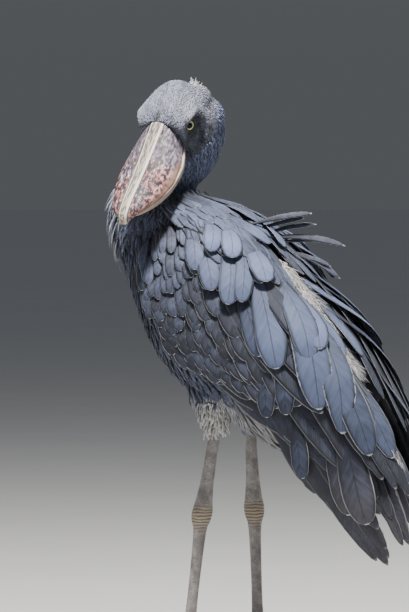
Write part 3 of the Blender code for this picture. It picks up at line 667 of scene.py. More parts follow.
@dataclass
class Blades:
    """Feathers gathered as arrays and made into one mesh of thin closed blades.

    Each blade has rows of points from root to tip. A row holds its middle line, the ways across
    and out, the half width and the thickness.
    """

    name: str
    columns: int = 3
    camber: float = 0.14
    thickness: float = 0.0006
    patch: float = 0.003
    batches: list[tuple[Array, ...]] = field(default_factory=list)

    def add(
        self, spines: Array, outs: Array, halves: Array, looks: Array, seats: Array
    ) -> None:
        """Adds blades of one number of rows.

        Args:
            spines: middle lines as (blade, row, 3).
            outs: outward directions of the same shape.
            halves: half widths as (blade, row).
            looks: brightness, pale rim, paleness and brown, for each blade.
            seats: each root's place on the skin's map.
        """
        self.batches.append((spines, unit(outs), halves, looks, seats))

    def make(self) -> Piece:
        """The mesh of all the blades, with the maps that their material reads."""
        spines, outs, halves, looks, seats = (np.concatenate(column) for column in zip(*self.batches))
        along = unit(np.gradient(spines, axis=1))
        across = unit(np.cross(along, outs))
        outs = np.cross(across, along)
        over = np.linspace(-1, 1, self.columns)
        shares = np.concatenate([over, over[::-1][1:-1]])
        facing = np.repeat((1.0, -1.0), (self.columns, self.columns - 2))
        rise = (self.camber * (1 - shares**2))[:, None]
        thick = (self.thickness / 2 * facing * (1 - shares**2) ** 0.5)[:, None]
        half = halves[:, :, None, None]
        places = (
            spines[:, :, None]
            + across[:, :, None] * (half * shares[:, None])
            + outs[:, :, None] * (half * rise + thick)
        )
        mesh = self.mesh_of(places)
        length = np.linalg.norm(np.diff(spines, axis=1), axis=2).sum(axis=1)
        sizes = np.stack([length, halves.max(axis=1), np.zeros_like(length)], -1)
        self.add_maps(mesh, shares, sizes, looks, seats)
        piece = bpy.data.objects.new(self.name, mesh)
        bpy.context.scene.collection.objects.link(piece)
        return piece

    def faces(self, rows: int, ring: int) -> tuple[Array, Array]:
        """The sides and both flat ends of one blade, as quads and triangles."""
        spot = np.arange(ring)
        after = (spot + 1) % ring
        sides = np.stack([spot, spot + ring, after + ring, after], -1)
        sides = sides + np.arange(rows - 1)[:, None, None] * ring
        if self.columns == 3:
            middle, tips = np.array([(0, 1, 2, 3)]), np.empty((0, 3), int)
        else:
            inner = np.arange(1, self.columns - 2)
            middle = np.stack([inner, inner + 1, ring - inner - 1, ring - inner], -1)
            tips = np.array([(0, 1, ring - 1), (self.columns - 2, self.columns - 1, self.columns)])
        last = (rows - 1) * ring
        quads = np.concatenate([sides.reshape(-1, 4), middle, last + middle[:, ::-1]])
        return quads, np.concatenate([tips, last + tips[:, ::-1]])

    def mesh_of(self, places: Array) -> bpy.types.Mesh:
        """A mesh of as many copies of one blade's faces as there are blades."""
        count, rows, ring, _ = places.shape
        quads, triangles = self.faces(rows, ring)
        starts = np.arange(count)[:, None, None] * rows * ring
        loops = np.concatenate([(part + starts).reshape(-1) for part in (quads, triangles)])
        totals = np.repeat((4, 3), (count * len(quads), count * len(triangles)))
        mesh = bpy.data.meshes.new(self.name)
        mesh.vertices.add(count * rows * ring)
        write(mesh.vertices, "co", places)
        mesh.loops.add(len(loops))
        write(mesh.loops, "vertex_index", loops, np.int32)
        mesh.polygons.add(len(totals))
        write(mesh.polygons, "loop_start", np.cumsum(totals) - totals, np.int32)
        mesh.update(calc_edges=True)
        mesh.validate()
        return mesh

    def add_maps(
        self, mesh: bpy.types.Mesh, shares: Array, sizes: Array, looks: Array, seats: Array
    ) -> None:
        """Writes the blade map, the map for baking, and the looks and size of each blade."""
        ring, points = len(shares), len(mesh.vertices) // len(sizes)
        along = np.linspace(0, 1, points // ring)
        corner = read(mesh.loops, "vertex_index", 1, np.int32)[:, 0]
        blade = np.stack([(shares / 2 + 0.5)[corner % ring], along[corner % points // ring]], -1)
        write(mesh.uv_layers.new(name="Blade").data, "uv", blade)
        patch = np.clip(seats[corner // points] + (blade - 0.5) * self.patch, 0.0, 1.0)
        write(mesh.uv_layers.new(name="OFBake").data, "uv", patch)
        for name, kind, key, values in (
            ("Looks", "FLOAT_COLOR", "color", looks), ("Size", "FLOAT_VECTOR", "vector", sizes)
        ):
            kept = mesh.attributes.new(name, kind, "POINT")
            write(kept.data, key, np.repeat(values, points, axis=0))


def outline(t: Array, root: float, widest: float, tip: float, blunt: float | Array) -> Array:
    """Half widths of a feather from root to tip, as shares of the widest.

    Args:
        t: places along it, from zero at the root to one at the tip.
        root: the share at the root.
        widest: where the widest place is, as a share of the length.
        tip: the share at the very tip.
        blunt: a low power gives a round end and one gives a pointed end.

    Returns:
        One share for each place.
    """
    rising = root + (1 - root) * np.sin(np.clip(t / widest, 0, 1) * math.pi / 2)
    ending = np.clip((t - widest) / (1 - widest), 0, 1)
    falling = tip + (1 - tip) * np.clip(1 - ending**2, 0, 1) ** blunt
    return np.where(t < widest, rising, falling)


@dataclass
class Eyes:
    """The eyeballs and the lids round them."""

    # Middle of the left eye in the head, forward, left and up.
    place: Triple = (0.0245, 0.0385, 0.001)
    gaze: Triple = (0.58, 0.75, 0.28)
    radius: float = 0.0132
    lid_out: float = 0.0072
    lid_radius: float = 0.0126
    lid_thick: float = 0.0022

    def centre(self, side: int) -> Array:
        """The middle of one eyeball."""
        forward, left, up = self.place
        return head_point(forward, side * left, up)

    def way(self, side: int) -> Array:
        """The direction that one eye looks in."""
        forward, left, up = self.gaze
        return unit(BILL_WAY * forward + HEAD_LEFT * (side * left) + HEAD_UP * up)

    def turned(self, side: int) -> Sequence[float]:
        """The angles that turn a piece's pole to where one eye looks."""
        return Vector(self.way(side)).to_track_quat("Z", "Y").to_euler()

    def ball(self, name: str, side: int) -> Piece:
        """One eyeball with a cornea that stands a little proud."""
        centre, way = self.centre(side), self.way(side)
        piece = ball(self.radius, centre, self.turned(side))
        piece.name = name
        places = coordinates(piece)
        towards = unit(places - centre) @ way
        bulge = 0.0007 * ease(0.84, 0.97, towards)
        set_coordinates(piece, places + bulge[:, None] * way)
        return piece

    def lids(self, side: int) -> Piece:
        """The rim of bare skin round one eye, a little narrower from above to below."""
        deselect()
        way = self.way(side)
        middle = self.centre(side) + way * self.lid_out
        bpy.ops.mesh.primitive_torus_add(
            location=middle,
            rotation=self.turned(side),
            major_segments=64,
            minor_segments=16,
            major_radius=self.lid_radius,
            minor_radius=self.lid_thick,
        )
        piece = bpy.context.object
        bpy.ops.object.transform_apply(location=True, rotation=True, scale=True)
        places = coordinates(piece) - middle
        height = places @ HEAD_UP
        places -= HEAD_UP * (height * 0.1)[:, None]
        hood = ease(0.004, 0.012, height) * 0.0014
        places += way * hood[:, None] - HEAD_UP * hood[:, None]
        crease = 0.00022 * np.sin(np.arctan2(places @ BILL_WAY, height) * 22)
        places += unit(places) * crease[:, None]
        set_coordinates(piece, places + middle)
        return piece


def lie_of_coat(points: Array, normals: Array, thigh: Thigh) -> Array:
    """The direction that feathers lie in at points of the skin.

    Args:
        points: places on the skin.
        normals: outward directions there.
        thigh: the thighs, where feathers hang straight down.

    Returns:
        Directions along the skin.
    """
    away = points - HEAD_CENTRE
    forward, up = away @ BILL_WAY, away @ HEAD_UP
    on_head = ease(0.09, 0.064, np.linalg.norm(away, axis=1))[:, None]
    back = ease(0.012, -0.04, forward)[:, None]
    jaw = ease(-0.012, -0.048, up)[:, None]
    head_way = -BILL_WAY * (1 - back) - HEAD_UP * back
    head_way = head_way * (1 - jaw) + np.array((-0.35, 0.05, -1.0)) * jaw
    front = ease(0.45, 0.85, normals @ BILL_WAY)[:, None] * ease(0.044, 0.05, forward)[:, None]
    radial = unit(away - forward[:, None] * BILL_WAY)
    head_way = head_way * (1 - front) + radial * front
    high = ease(0.73, 0.8, points[:, 2])[:, None] * ease(0.1, -0.02, points[:, 1:2])
    body_way = BACKWARD * (1 - high) + np.array((0.0, 0.12, -1.0)) * high
    way = head_way * on_head + body_way * (1 - on_head)
    leg = thigh.near(points)[:, None]
    way = way * (1 - leg) - UPWARD * leg
    flat = way - normals * (way * normals).sum(axis=1, keepdims=True)
    return unit(flat)


@dataclass(frozen=True)
class Growth:
    """How one piece of the coat grows: its roots, its lie and the form of its feathers."""

    name: str
    tries: int
    # Seeds of the roots, of the sizes and tones, and of the lie.
    seeds: tuple[int, int, int]
    # Heights over the skin at root and tip.
    lifts: tuple[float, float]
    # Rows, share at the root, widest place, share at the tip and bluntness.
    form: tuple[float, ...]
    columns: int = 3
    wander: float = 0.1
    power: float = 1.0
    swirl: float = 0.0
    camber: float = 0.14


HEAD_GROWTH = Growth("head_coat", 42000, (3, 31, 33), (-0.0004, 0.0008), (3, 0.8, 0.5, 0.2, 1.0),
                     wander=0.18, swirl=0.45, camber=0.06)
NECK_GROWTH = Growth("neck_coat", 26000, (5, 51, 53), (-0.001, 0.0026), (5, 0.6, 0.5, 0.2, 1.0),
                     wander=0.16, power=1.15, swirl=0.3, camber=0.09)
BODY_GROWTH = Growth("body_coat", 24000, (7, 71, 73), (-0.0015, 0.0065), (7, 0.45, 0.5, 0.14, 0.75),
                     columns=5, power=1.1)
THIGH_GROWTH = Growth("thigh_coat", 9000, (9, 91, 93), (-0.001, 0.0048), (5, 0.6, 0.45, 0.15, 0.85),
                      wander=0.15)


@dataclass
class Coat:
    """Feathers grown over the skin of the head, neck, body and thighs."""

    skin: Skin
    trunk: Trunk
    thigh: Thigh
    eyes: Eyes
    sheet: WingSheet
    # Least distances between roots, the height where the neck starts and the bare skin at an eye.
    head_gap: float = 0.00195
    neck_gap: float = 0.0031
    body_gap: float = 0.0088
    thigh_gap: float = 0.0046
    neck_start: float = 0.765
    eye_bare: float = 0.0118
    thickness: float = 0.0004

    def bare(self, points: Array) -> Array:
        """True at the eyes and under the root of the bill, where nothing grows."""
        away = points - HEAD_CENTRE
        left, up = away @ HEAD_LEFT / 0.033, (away @ HEAD_UP + 0.012) / 0.042
        hidden = (away @ BILL_WAY > 0.046) & (left**2 + up**2 < 1.0)
        for side in (1, -1):
            middle = self.eyes.centre(side) + self.eyes.way(side) * self.eyes.lid_out
            hidden |= np.linalg.norm(points - middle, axis=1) < self.eye_bare
        return hidden

    def on_head(self, points: Array) -> Array:
        """True on the head and false below it."""
        away = np.linalg.norm(points - HEAD_CENTRE, axis=1)
        return ease(0.092, 0.07, away) > 0.5

    def head_spacing(self, points: Array) -> Array:
        """Least distance between the short feathers of the head."""
        forward = (points - HEAD_CENTRE) @ BILL_WAY
        gap = self.head_gap - 0.0002 * np.exp(-(((forward - 0.03) / 0.03) ** 2))
        return np.where(self.on_head(points) & ~self.bare(points), gap, 0.0)

    def neck_spacing(self, points: Array) -> Array:
        """Least distance between the feathers of the neck."""
        there = (points[:, 2] > self.neck_start) & ~self.on_head(points)
        gap = self.neck_gap + 0.002 * ease(0.865, 0.825, points[:, 2])
        return np.where(there & ~self.bare(points), gap, 0.0)

    def body_spacing(self, points: Array) -> Array:
        """Least distance between the feathers of the trunk."""
        there = (points[:, 2] <= self.neck_start) & (self.thigh.near(points) < 0.5)
        there &= ~self.sheet.cover(points) & self.trunk.holds(points)
        return np.where(there, self.body_gap, 0.0)

    def thigh_spacing(self, points: Array) -> Array:
        """Least distance between the feathers of the thighs."""
        return np.where(self.thigh.near(points) >= 0.5, self.thigh_gap, 0.0)

    def follow(
        self, roots: Array, triangles: Array, lengths: Array, lifts: Array, turned: Array
    ) -> tuple[Array, Array]:
        """Middle lines that run over the skin from each root, the way the coat lies.

        Args:
            roots: places on the skin.
            triangles: the triangle of each root.
            lengths: how long each feather is.
            lifts: heights over the skin as (feather, row).
            turned: how far each is turned aside, in radians.

        Returns:
            The lines and the outward directions along them.
        """
        normals = self.skin.normal_of(triangles)
        ways = lie_of_coat(roots, normals, self.thigh)
        aside = np.cross(normals, ways)
        ways = ways * np.cos(turned)[:, None] + aside * np.sin(turned)[:, None]
        count, rows = lifts.shape
        smooth = self.skin.normal_of(np.arange(len(self.skin.corners))).tolist()
        lines, outs = np.empty((count, rows, 3)), np.empty((count, rows, 3))
        steps = (lengths / (rows - 1)).tolist()
        for n in range(count):
            place, normal, way = Vector(roots[n]), Vector(normals[n]), Vector(ways[n])
            for row in range(rows):
                lines[n, row] = place
                outs[n, row] = normal
                spot, triangle = self.skin.nearest(place + way * steps[n])
                found = Vector(smooth[triangle])
                if found.dot(normal) < 0.3:
                    spot, found = place + way * steps[n], normal
                on = spot - place
                on = on - found * on.dot(found)
                way = on.normalized() if on.length > 1e-6 else way
                place, normal = spot, found
        return lines + outs * lifts[..., None], outs

    def sow(
        self, growth: Growth, spacing: Callable[[Array], Array]
    ) -> tuple[Array, Array, np.random.Generator]:
        """Roots of a piece of coat, their triangles, and the draws for its sizes and tones."""
        roots, triangles = self.skin.scatter(spacing, growth.seeds[0], growth.tries)
        return roots, triangles, np.random.default_rng(growth.seeds[1])

    def grow(
        self, growth: Growth, roots: Array, triangles: Array, lengths: Array,
        halves: Array, looks: Array,
    ) -> Piece:
        """One piece of coat, from its roots and the sizes of its feathers."""
        seed = growth.seeds[2]
        chance = np.random.default_rng(seed)
        rows, *form = growth.form
        t = np.linspace(0, 1, rows)
        count, low = len(roots), growth.lifts[0]
        top = growth.lifts[1] * chance.uniform(0.65, 1.15, (count, 1))
        heights = low + (top - low) * t**growth.power
        turned = chance.normal(0, growth.wander, count) + growth.swirl * ripple(roots, 420.0, seed)
        lines, outs = self.follow(roots, triangles, lengths, heights, turned)
        roll = np.radians(chance.uniform(-9, 9, count))[:, None, None]
        across = np.cross(unit(np.gradient(lines, axis=1)), outs)
        outs = outs * np.cos(roll) + across * np.sin(roll)
        blades = Blades(growth.name, growth.columns, growth.camber, self.thickness)
        halves = halves[:, None] * outline(t, *form)
        blades.add(lines, outs, halves, looks, self.skin.seats[triangles])
        return blades.make()

    def head(self) -> Piece:
        """The short velvet of the head, in small curls on the cheeks and nape."""
        roots, triangles, chance = self.sow(HEAD_GROWTH, self.head_spacing)
        count = len(roots)
        away = roots - HEAD_CENTRE
        forward, up = away @ BILL_WAY, away @ HEAD_UP
        cowl = ease(0.01, -0.02, forward) * ease(0.052, 0.02, up)
        to_eye = np.minimum(
            *(np.linalg.norm(roots - self.eyes.centre(side), axis=1) for side in (1, -1))
        )
        face = ease(0.034, 0.018, to_eye)
        lengths = (0.0062 + 0.0014 * cowl - 0.0022 * face) * chance.uniform(0.8, 1.25, count)
        halves = (0.00125 + 0.0002 * cowl - 0.0002 * face) * chance.uniform(0.7, 1.3, count)
        speckle = ripple(roots, 950.0, 17) * 0.24 * cowl
        lores = ease(-0.004, 0.01, forward) * ease(0.0, -0.014, up)
        crease = np.exp(-(((forward + 0.001) / 0.007) ** 2)) * ease(0.024, 0.004, up)
        brow = np.exp(-(((forward - 0.02) / 0.016) ** 2) - ((up - 0.021) / 0.008) ** 2)
        under = face * ease(0.016, 0.01, up)
        # Painted light: a little lighter towards the crown, as lit from above. The lores are darker in their
        # own colour, and the darkening along the crease between face and cowl is painted shade.
        tone = 0.55 + 0.08 * ease(0.0, 0.04, up) - 0.3 * np.maximum(lores, crease) - 0.26 * under
        tone += 0.1 * cowl + speckle + 0.16 * ripple(roots, 260.0, 19) + chance.normal(0, 0.08, count)
        notch = np.exp(-(((away @ HEAD_LEFT) / 0.006) ** 2) - ((forward - 0.048) / 0.01) ** 2)
        tone -= 0.55 * notch * ease(0.0, 0.02, up)
        pale = 0.16 * cowl * (speckle > 0.06) + 0.34 * brow + chance.normal(0.02, 0.03, count)
        looks = looks_of(tone, 0.25, np.clip(pale, 0, 1), 0.05 + 0.1 * face)
        return self.grow(HEAD_GROWTH, roots, triangles, lengths, halves, looks)

    def neck(self) -> Piece:
        """The narrow feathers of the neck, loose and pale at the throat."""
        roots, triangles, chance = self.sow(NECK_GROWTH, self.neck_spacing)
        normals = self.skin.normal_of(triangles)
        count = len(roots)
        front = ease(0.25, 0.75, normals @ unit(np.array((-0.15, -1.0, 0.0))))
        low = ease(0.865, 0.825, roots[:, 2])
        lengths = (0.0085 + 0.016 * low + 0.008 * front * low) * chance.uniform(0.75, 1.25, count)
        halves = (0.0018 + 0.002 * low) * chance.uniform(0.8, 1.2, count)
        speckle = ripple(roots, 700.0, 27) * 0.22 * (1 - low)
        # The cowl is paler in its own grey. Lighter where the skin faces up: painted light from above. The
        # lower neck is darker, partly in its own colour and partly as painted shade under the bill.
        tone = 0.3 + 0.44 * (1 - low) + 0.12 * ease(-0.2, 0.9, normals[:, 2]) + speckle
        tone += chance.normal(0, 0.07, count)
        streak = chance.random(count) < 0.35 * front
        pale = np.where(streak, chance.uniform(0.3, 0.65, count), 0.03)
        pale += 0.14 * (1 - low) * (speckle > 0.05)
        looks = looks_of(tone + 0.1 * front, 0.1 + 0.3 * low, pale, 0.04)
        return self.grow(NECK_GROWTH, roots, triangles, lengths, halves, looks)

    def body(self) -> Piece:
        """The feathers of the breast, flanks, belly and back, narrow in front and round above."""
        roots, triangles, chance = self.sow(BODY_GROWTH, self.body_spacing)
        count = len(roots)
        above = ease(-0.2, 0.5, self.skin.normal_of(triangles) @ DORSAL)
        behind = (roots - SHOULDER) @ BACKWARD
        lengths = (0.034 - 0.006 * above) * chance.uniform(0.75, 1.2, count)
        halves = (0.0052 + 0.0042 * above) * chance.uniform(0.8, 1.2, count)
        # Paler where the skin faces the back and darker on the breast: painted light from above and painted
        # shade under the head.
        tone = 0.22 + 0.3 * above + chance.normal(0, 0.07, count)
        vent = ease(0.27, 0.36, behind) * (1 - above)
        pale = np.clip(0.02 + 0.42 * vent * chance.uniform(0.6, 1.0, count), 0, 1)
        looks = looks_of(tone, 0.75, pale, 0.05 + 0.35 * vent)
        return self.grow(BODY_GROWTH, roots, triangles, lengths, halves, looks)

    def thighs(self) -> Piece:
        """The soft feathers of the thighs."""
        roots, triangles, chance = self.sow(THIGH_GROWTH, self.thigh_spacing)
        count = len(roots)
        low = ease(0.44, 0.39, roots[:, 2])
        lengths = (0.017 - 0.006 * low) * chance.uniform(0.75, 1.25, count)
        halves = 0.003 * chance.uniform(0.8, 1.2, count)
        tone = 0.58 + chance.normal(0, 0.08, count)
        pale = 0.1 + 0.26 * (roots[:, 0] > STANCE[0]) * chance.uniform(0.5, 1.0, count)
        return self.grow(
            THIGH_GROWTH, roots, triangles, lengths, halves, looks_of(tone, 0.3, pale, 0.03)
        )


@dataclass(frozen=True)
class Tier:
    """A row of wing feathers, from the lower edge of the wing to its upper edge.

    Roots and tips are distances behind the shoulder and turns from the ridge of the back.
    """

    count: int
    roots: Keys
    tips: Keys
    widths: tuple[float, ...]
    lifts: tuple[float, float]
    # How bright the row's feathers are: partly their own slate grey, with dark flight feathers, and partly
    # painted shade low on the flank and painted light over the top of the back.
    tone: tuple[float, float] = (0.35, 0.55)
    rim: float = 0.6
    brown: float = 0.0
    tatter: float = 0.0

    def along(self, keys: Keys, share: Array) -> Array:
        """Values at shares of the way along evenly spaced keys."""
        table = np.array(keys, float)
        at = np.linspace(0, 1, len(table))
        return np.stack([np.interp(share, at, table[:, n]) for n in range(table.shape[1])], -1)


# The layers of the folded wing, from the lowest to the topmost. Their brightness is partly painted light:
# darker low on the flank and under other rows, where shade falls, and paler over the top of the back, where
# light falls.
TIERS = (
    Tier(10, ((0.35, 82.0), (0.37, 76.0)), ((0.545, 97.0), (0.7, 97.0), (0.69, 88.0), (0.64, 72.0)),
         (0.032, 0.036), (-0.0075, -0.005), (0.02, 0.1), 0.25, 0.34, 1.0),
    Tier(12, ((0.22, 93.0), (0.26, 70.0), (0.28, 30.0)),
         ((0.38, 86.0), (0.48, 88.0), (0.58, 64.0), (0.65, 30.0)),
         (0.034, 0.04), (-0.005, 0.0015), (0.02, 0.12), 0.45, 0.1, 0.5),
    Tier(12, ((0.15, 96.0), (0.17, 60.0), (0.16, 14.0)),
         ((0.3, 90.0), (0.39, 78.0), (0.48, 50.0), (0.56, 24.0), (0.42, 8.0)),
         (0.036, 0.044, 0.042), (-0.0032, 0.006), (0.02, 0.14), 0.6, 0.03, 0.2),
    Tier(11, ((0.09, 100.0), (0.11, 60.0), (0.11, 12.0)),
         ((0.235, 98.0), (0.32, 72.0), (0.33, 9.0)),
         (0.036, 0.042, 0.042), (-0.003, 0.0075), (0.02, 0.14), 0.65),
    Tier(8, ((0.22, 91.0), (0.26, 78.0), (0.27, 62.0)), ((0.29, 91.0), (0.345, 83.0), (0.402, 72.0)),
         (0.034, 0.038), (-0.002, 0.0072), (0.02, 0.12), 0.85, 0.08),
    Tier(9, ((0.188, 94.0), (0.222, 81.0), (0.226, 64.0)), ((0.256, 95.5), (0.306, 87.0), (0.335, 74.0)),
         (0.033, 0.037), (-0.002, 0.0082), (0.03, 0.14), 0.9, 0.08),
    Tier(9, ((0.152, 96.0), (0.182, 83.0), (0.182, 66.0)), ((0.222, 100.0), (0.268, 90.0), (0.282, 75.0)),
         (0.031, 0.036), (-0.002, 0.0092), (0.03, 0.16), 0.95, 0.07),
    Tier(10, ((0.118, 97.0), (0.142, 83.0), (0.138, 65.0)), ((0.188, 102.0), (0.228, 91.0), (0.232, 74.0)),
         (0.03, 0.034), (-0.002, 0.01), (0.02, 0.14), 1.0, 0.06),
    Tier(10, ((0.084, 98.0), (0.106, 82.0), (0.098, 64.0)), ((0.154, 103.0), (0.186, 89.0), (0.184, 72.0)),
         (0.028, 0.032), (-0.002, 0.0107), (0.03, 0.17), 1.0, 0.05),
    Tier(11, ((0.054, 98.0), (0.074, 80.0), (0.07, 61.0)), ((0.122, 103.0), (0.146, 87.0), (0.144, 70.0)),
         (0.026, 0.029), (-0.0018, 0.0114), (0.05, 0.21), 1.0, 0.05),
    Tier(12, ((0.026, 98.0), (0.044, 75.0), (0.044, 56.0)), ((0.092, 102.0), (0.11, 83.0), (0.106, 66.0)),
         (0.023, 0.026), (-0.0015, 0.012), (0.08, 0.26), 1.0, 0.04),
    Tier(13, ((-0.006, 96.0), (0.014, 68.0), (0.016, 46.0)), ((0.062, 101.0), (0.074, 76.0), (0.07, 56.0)),
         (0.02, 0.023), (-0.001, 0.0127), (0.12, 0.33), 1.0, 0.04),
    Tier(13, ((-0.034, 92.0), (-0.016, 62.0), (-0.014, 40.0)), ((0.034, 99.0), (0.042, 70.0), (0.038, 50.0)),
         (0.017, 0.02), (-0.001, 0.013), (0.16, 0.38), 1.0, 0.03),
    Tier(9, ((0.05, 60.0), (0.06, 34.0), (0.06, 9.0)), ((0.15, 64.0), (0.18, 38.0), (0.185, 8.0)),
         (0.03, 0.034), (0.0, 0.0105), (0.1, 0.32), 1.0),
    Tier(11, ((0.02, 56.0), (0.034, 32.0), (0.034, 8.0)), ((0.108, 60.0), (0.132, 36.0), (0.138, 7.0)),
         (0.026, 0.03), (0.0008, 0.0118), (0.1, 0.34), 1.0),
    Tier(12, ((-0.006, 55.0), (0.006, 30.0), (0.004, 7.0)), ((0.072, 59.0), (0.092, 35.0), (0.096, 6.0)),
         (0.023, 0.026), (0.0008, 0.0128), (0.12, 0.36), 1.0),
    Tier(14, ((-0.03, 56.0), (-0.018, 30.0), (-0.02, 6.0)), ((0.04, 60.0), (0.056, 34.0), (0.06, 6.0)),
         (0.02, 0.023), (0.0008, 0.0136), (0.12, 0.36), 1.0),
    Tier(15, ((-0.05, 56.0), (-0.04, 30.0), (-0.044, 6.0)), ((0.012, 59.0), (0.026, 34.0), (0.028, 6.0)),
         (0.018, 0.021), (0.0005, 0.014), (0.12, 0.38), 1.0),
    Tier(15, ((-0.072, 56.0), (-0.062, 30.0), (-0.066, 6.0)), ((-0.016, 58.0), (-0.004, 34.0), (-0.002, 6.0)),
         (0.016, 0.02), (0.0, 0.0122), (0.12, 0.38), 1.0),
)

# Large feathers that lie on top, each in its own place: root and tip as distance behind the
# shoulder and turn, width, heights at root and tip, and brightness. The brightness is partly painted light:
# darker low on the wing, where shade falls, and paler on its sunlit top.
LARGE_PLUMES = (
    (0.472, 60.5, 0.632, 83.0, 0.06, -0.002, 0.004, 0.16),
    (0.46, 66.0, 0.6, 90.0, 0.044, -0.004, 0.001, 0.12),
    (0.412, 77.0, 0.504, 96.5, 0.036, -0.001, 0.004, 0.16),
    (0.316, 32.0, 0.538, 55.5, 0.054, -0.002, 0.005, 0.22),
    (0.33, 20.0, 0.56, 36.0, 0.05, -0.002, 0.004, 0.24),
    (0.228, 10.0, 0.482, 62.0, 0.06, -0.001, 0.008, 0.32),
    (0.19, 24.0, 0.426, 64.0, 0.066, 0.0, 0.0105, 0.42),
    (0.166, 56.5, 0.29, 70.0, 0.04, 0.0, 0.0075, 0.26),
    (0.164, 44.0, 0.326, 67.5, 0.056, 0.0, 0.011, 0.52),
    (0.204, 6.0, 0.35, 9.0, 0.046, 0.002, 0.012, 0.48),
    (0.168, 22.0, 0.345, 53.0, 0.054, 0.002, 0.0122, 0.44),
    (0.17, 8.0, 0.336, 42.5, 0.056, 0.002, 0.0135, 0.54),
    (0.3, 70.0, 0.384, 86.5, 0.034, 0.0, 0.009, 0.14),
    (0.3, 62.0, 0.4, 78.0, 0.036, 0.0, 0.009, 0.14),
    (0.086, 22.5, 0.182, 43.0, 0.048, 0.003, 0.0165, 0.54),
    (0.098, 37.5, 0.192, 61.0, 0.036, 0.002, 0.0155, 0.46),
    (0.082, 46.5, 0.182, 66.5, 0.042, 0.002, 0.016, 0.48),
    (0.048, 58.0, 0.144, 68.5, 0.04, 0.002, 0.016, 0.44),
    (0.014, 57.5, 0.094, 69.5, 0.038, 0.003, 0.0165, 0.42),
    (0.044, 33.0, 0.112, 51.0, 0.04, 0.005, 0.019, 0.62),
    (0.02, 42.0, 0.08, 58.0, 0.037, 0.005, 0.019, 0.58),
    (0.014, 17.0, 0.1, 5.0, 0.037, 0.004, 0.018, 0.46),
)


@dataclass
class WingPlumage:
    """All the feathers of one folded wing."""

    name: str
    side: int
    sheet: WingSheet
    skin: Skin
    spread: float = 1.0
    rows: int = 16
    # How much higher than their rows in the table the large feathers lie, at root and tip.
    raised: tuple[float, float] = (0.0015, 0.004)

    def build(self) -> Piece:
        """The wing's feathers as one piece, tier on tier."""
        chance = np.random.default_rng(40 + self.side)
        blades = Blades(self.name, columns=9, camber=0.14, thickness=0.0005)
        for tier in TIERS:
            share = np.linspace(0, 1, tier.count)
            roots, tips = tier.along(tier.roots, share), tier.along(tier.tips, share)
            widths = tier.along([(w,) for w in tier.widths], share)[:, 0]
            widths = widths * chance.uniform(0.86, 1.12, tier.count)
            roots[:, 0] += chance.uniform(-0.008, 0.008, tier.count)
            tips[:, 0] = (tips[:, 0] + chance.uniform(-0.016, 0.012, tier.count)) * self.spread
            tips[:, 1] += chance.uniform(-2.6, 2.6, tier.count)
            tone = chance.uniform(*tier.tone, tier.count)
            looks = looks_of(tone, tier.rim, 0.02, tier.brown)
            step = np.linspace(0, 0.0009, tier.count)
            lifts = np.array(tier.lifts)[None, :] + step[:, None]
            self.lay(blades, roots, tips, widths, lifts, looks, tier.tatter, 7.0, chance)
        table = np.array(LARGE_PLUMES)
        table[:, 5:7] += self.raised
        if self.side < 0:
            table[:, (0, 2)] += chance.uniform(-0.008, 0.008, (len(table), 2))
            table[:, (1, 3)] += chance.uniform(-1.5, 1.5, (len(table), 2))
            table[:, (1, 3)] = np.maximum(table[:, (1, 3)], 5.0)
        brown = np.where(table[:, 2] > 0.58, 0.55, 0.0)
        looks = looks_of(table[:, 7], 0.9, 0.01, brown)
        self.lay(
            blades, table[:, :2], table[:, 2:4], table[:, 4], table[:, 5:7], looks, 0.15, 2.0, chance
        )
        return blades.make()

    def lay(
        self, blades: Blades, roots: Array, tips: Array, widths: Array, lifts: Array,
        looks: Array, tatter: float, turned: float, chance: np.random.Generator,
    ) -> None:
        """Lays feathers on the wing sheet, each turned a little about its shaft."""
        count = len(roots)
        t = (1 - (1 - np.linspace(0, 1, self.rows)) ** 1.35)[None, :]
        behind = roots[:, :1] + (tips[:, :1] - roots[:, :1]) * t
        bow = chance.uniform(-1.6, 1.6, (count, 1)) * np.sin(math.pi * t)
        turn = roots[:, 1:] + (tips[:, 1:] - roots[:, 1:]) * t + bow
        lift = lifts[:, :1] + (lifts[:, 1:] - lifts[:, :1]) * t**0.9
        lift = lift - 0.0022 * ease(0.75, 1.0, t) * (lifts[:, 1:] > 0.004)
        lines = self.sheet.point(behind, turn, self.side, lift)
        outs = unit(self.sheet.point(behind, turn, self.side, lift + 0.01) - lines)
        across = np.cross(unit(np.gradient(lines, axis=1)), outs)
        roll = np.radians(self.side * turned + chance.uniform(-2, 2, (count, 1)))[..., None]
        outs = outs * np.cos(roll) - across * np.sin(roll)
        lengths = np.linalg.norm(np.diff(lines, axis=1), axis=2).sum(axis=1)
        blunt = np.clip(0.5 + 0.12 * (lengths / 0.15 - 1), 0.45, 0.75)[:, None]
        shape = outline(t, 0.42, 0.66, 0.1, blunt)
        notch = 1 - chance.random((count, self.rows)) ** 6 * (0.06 + 0.5 * tatter * ease(0.6, 1, t))
        halves = widths[:, None] / 2 * shape * notch
        blades.add(lines, outs, halves, looks, self.skin.seats_of(lines[:, 0]))


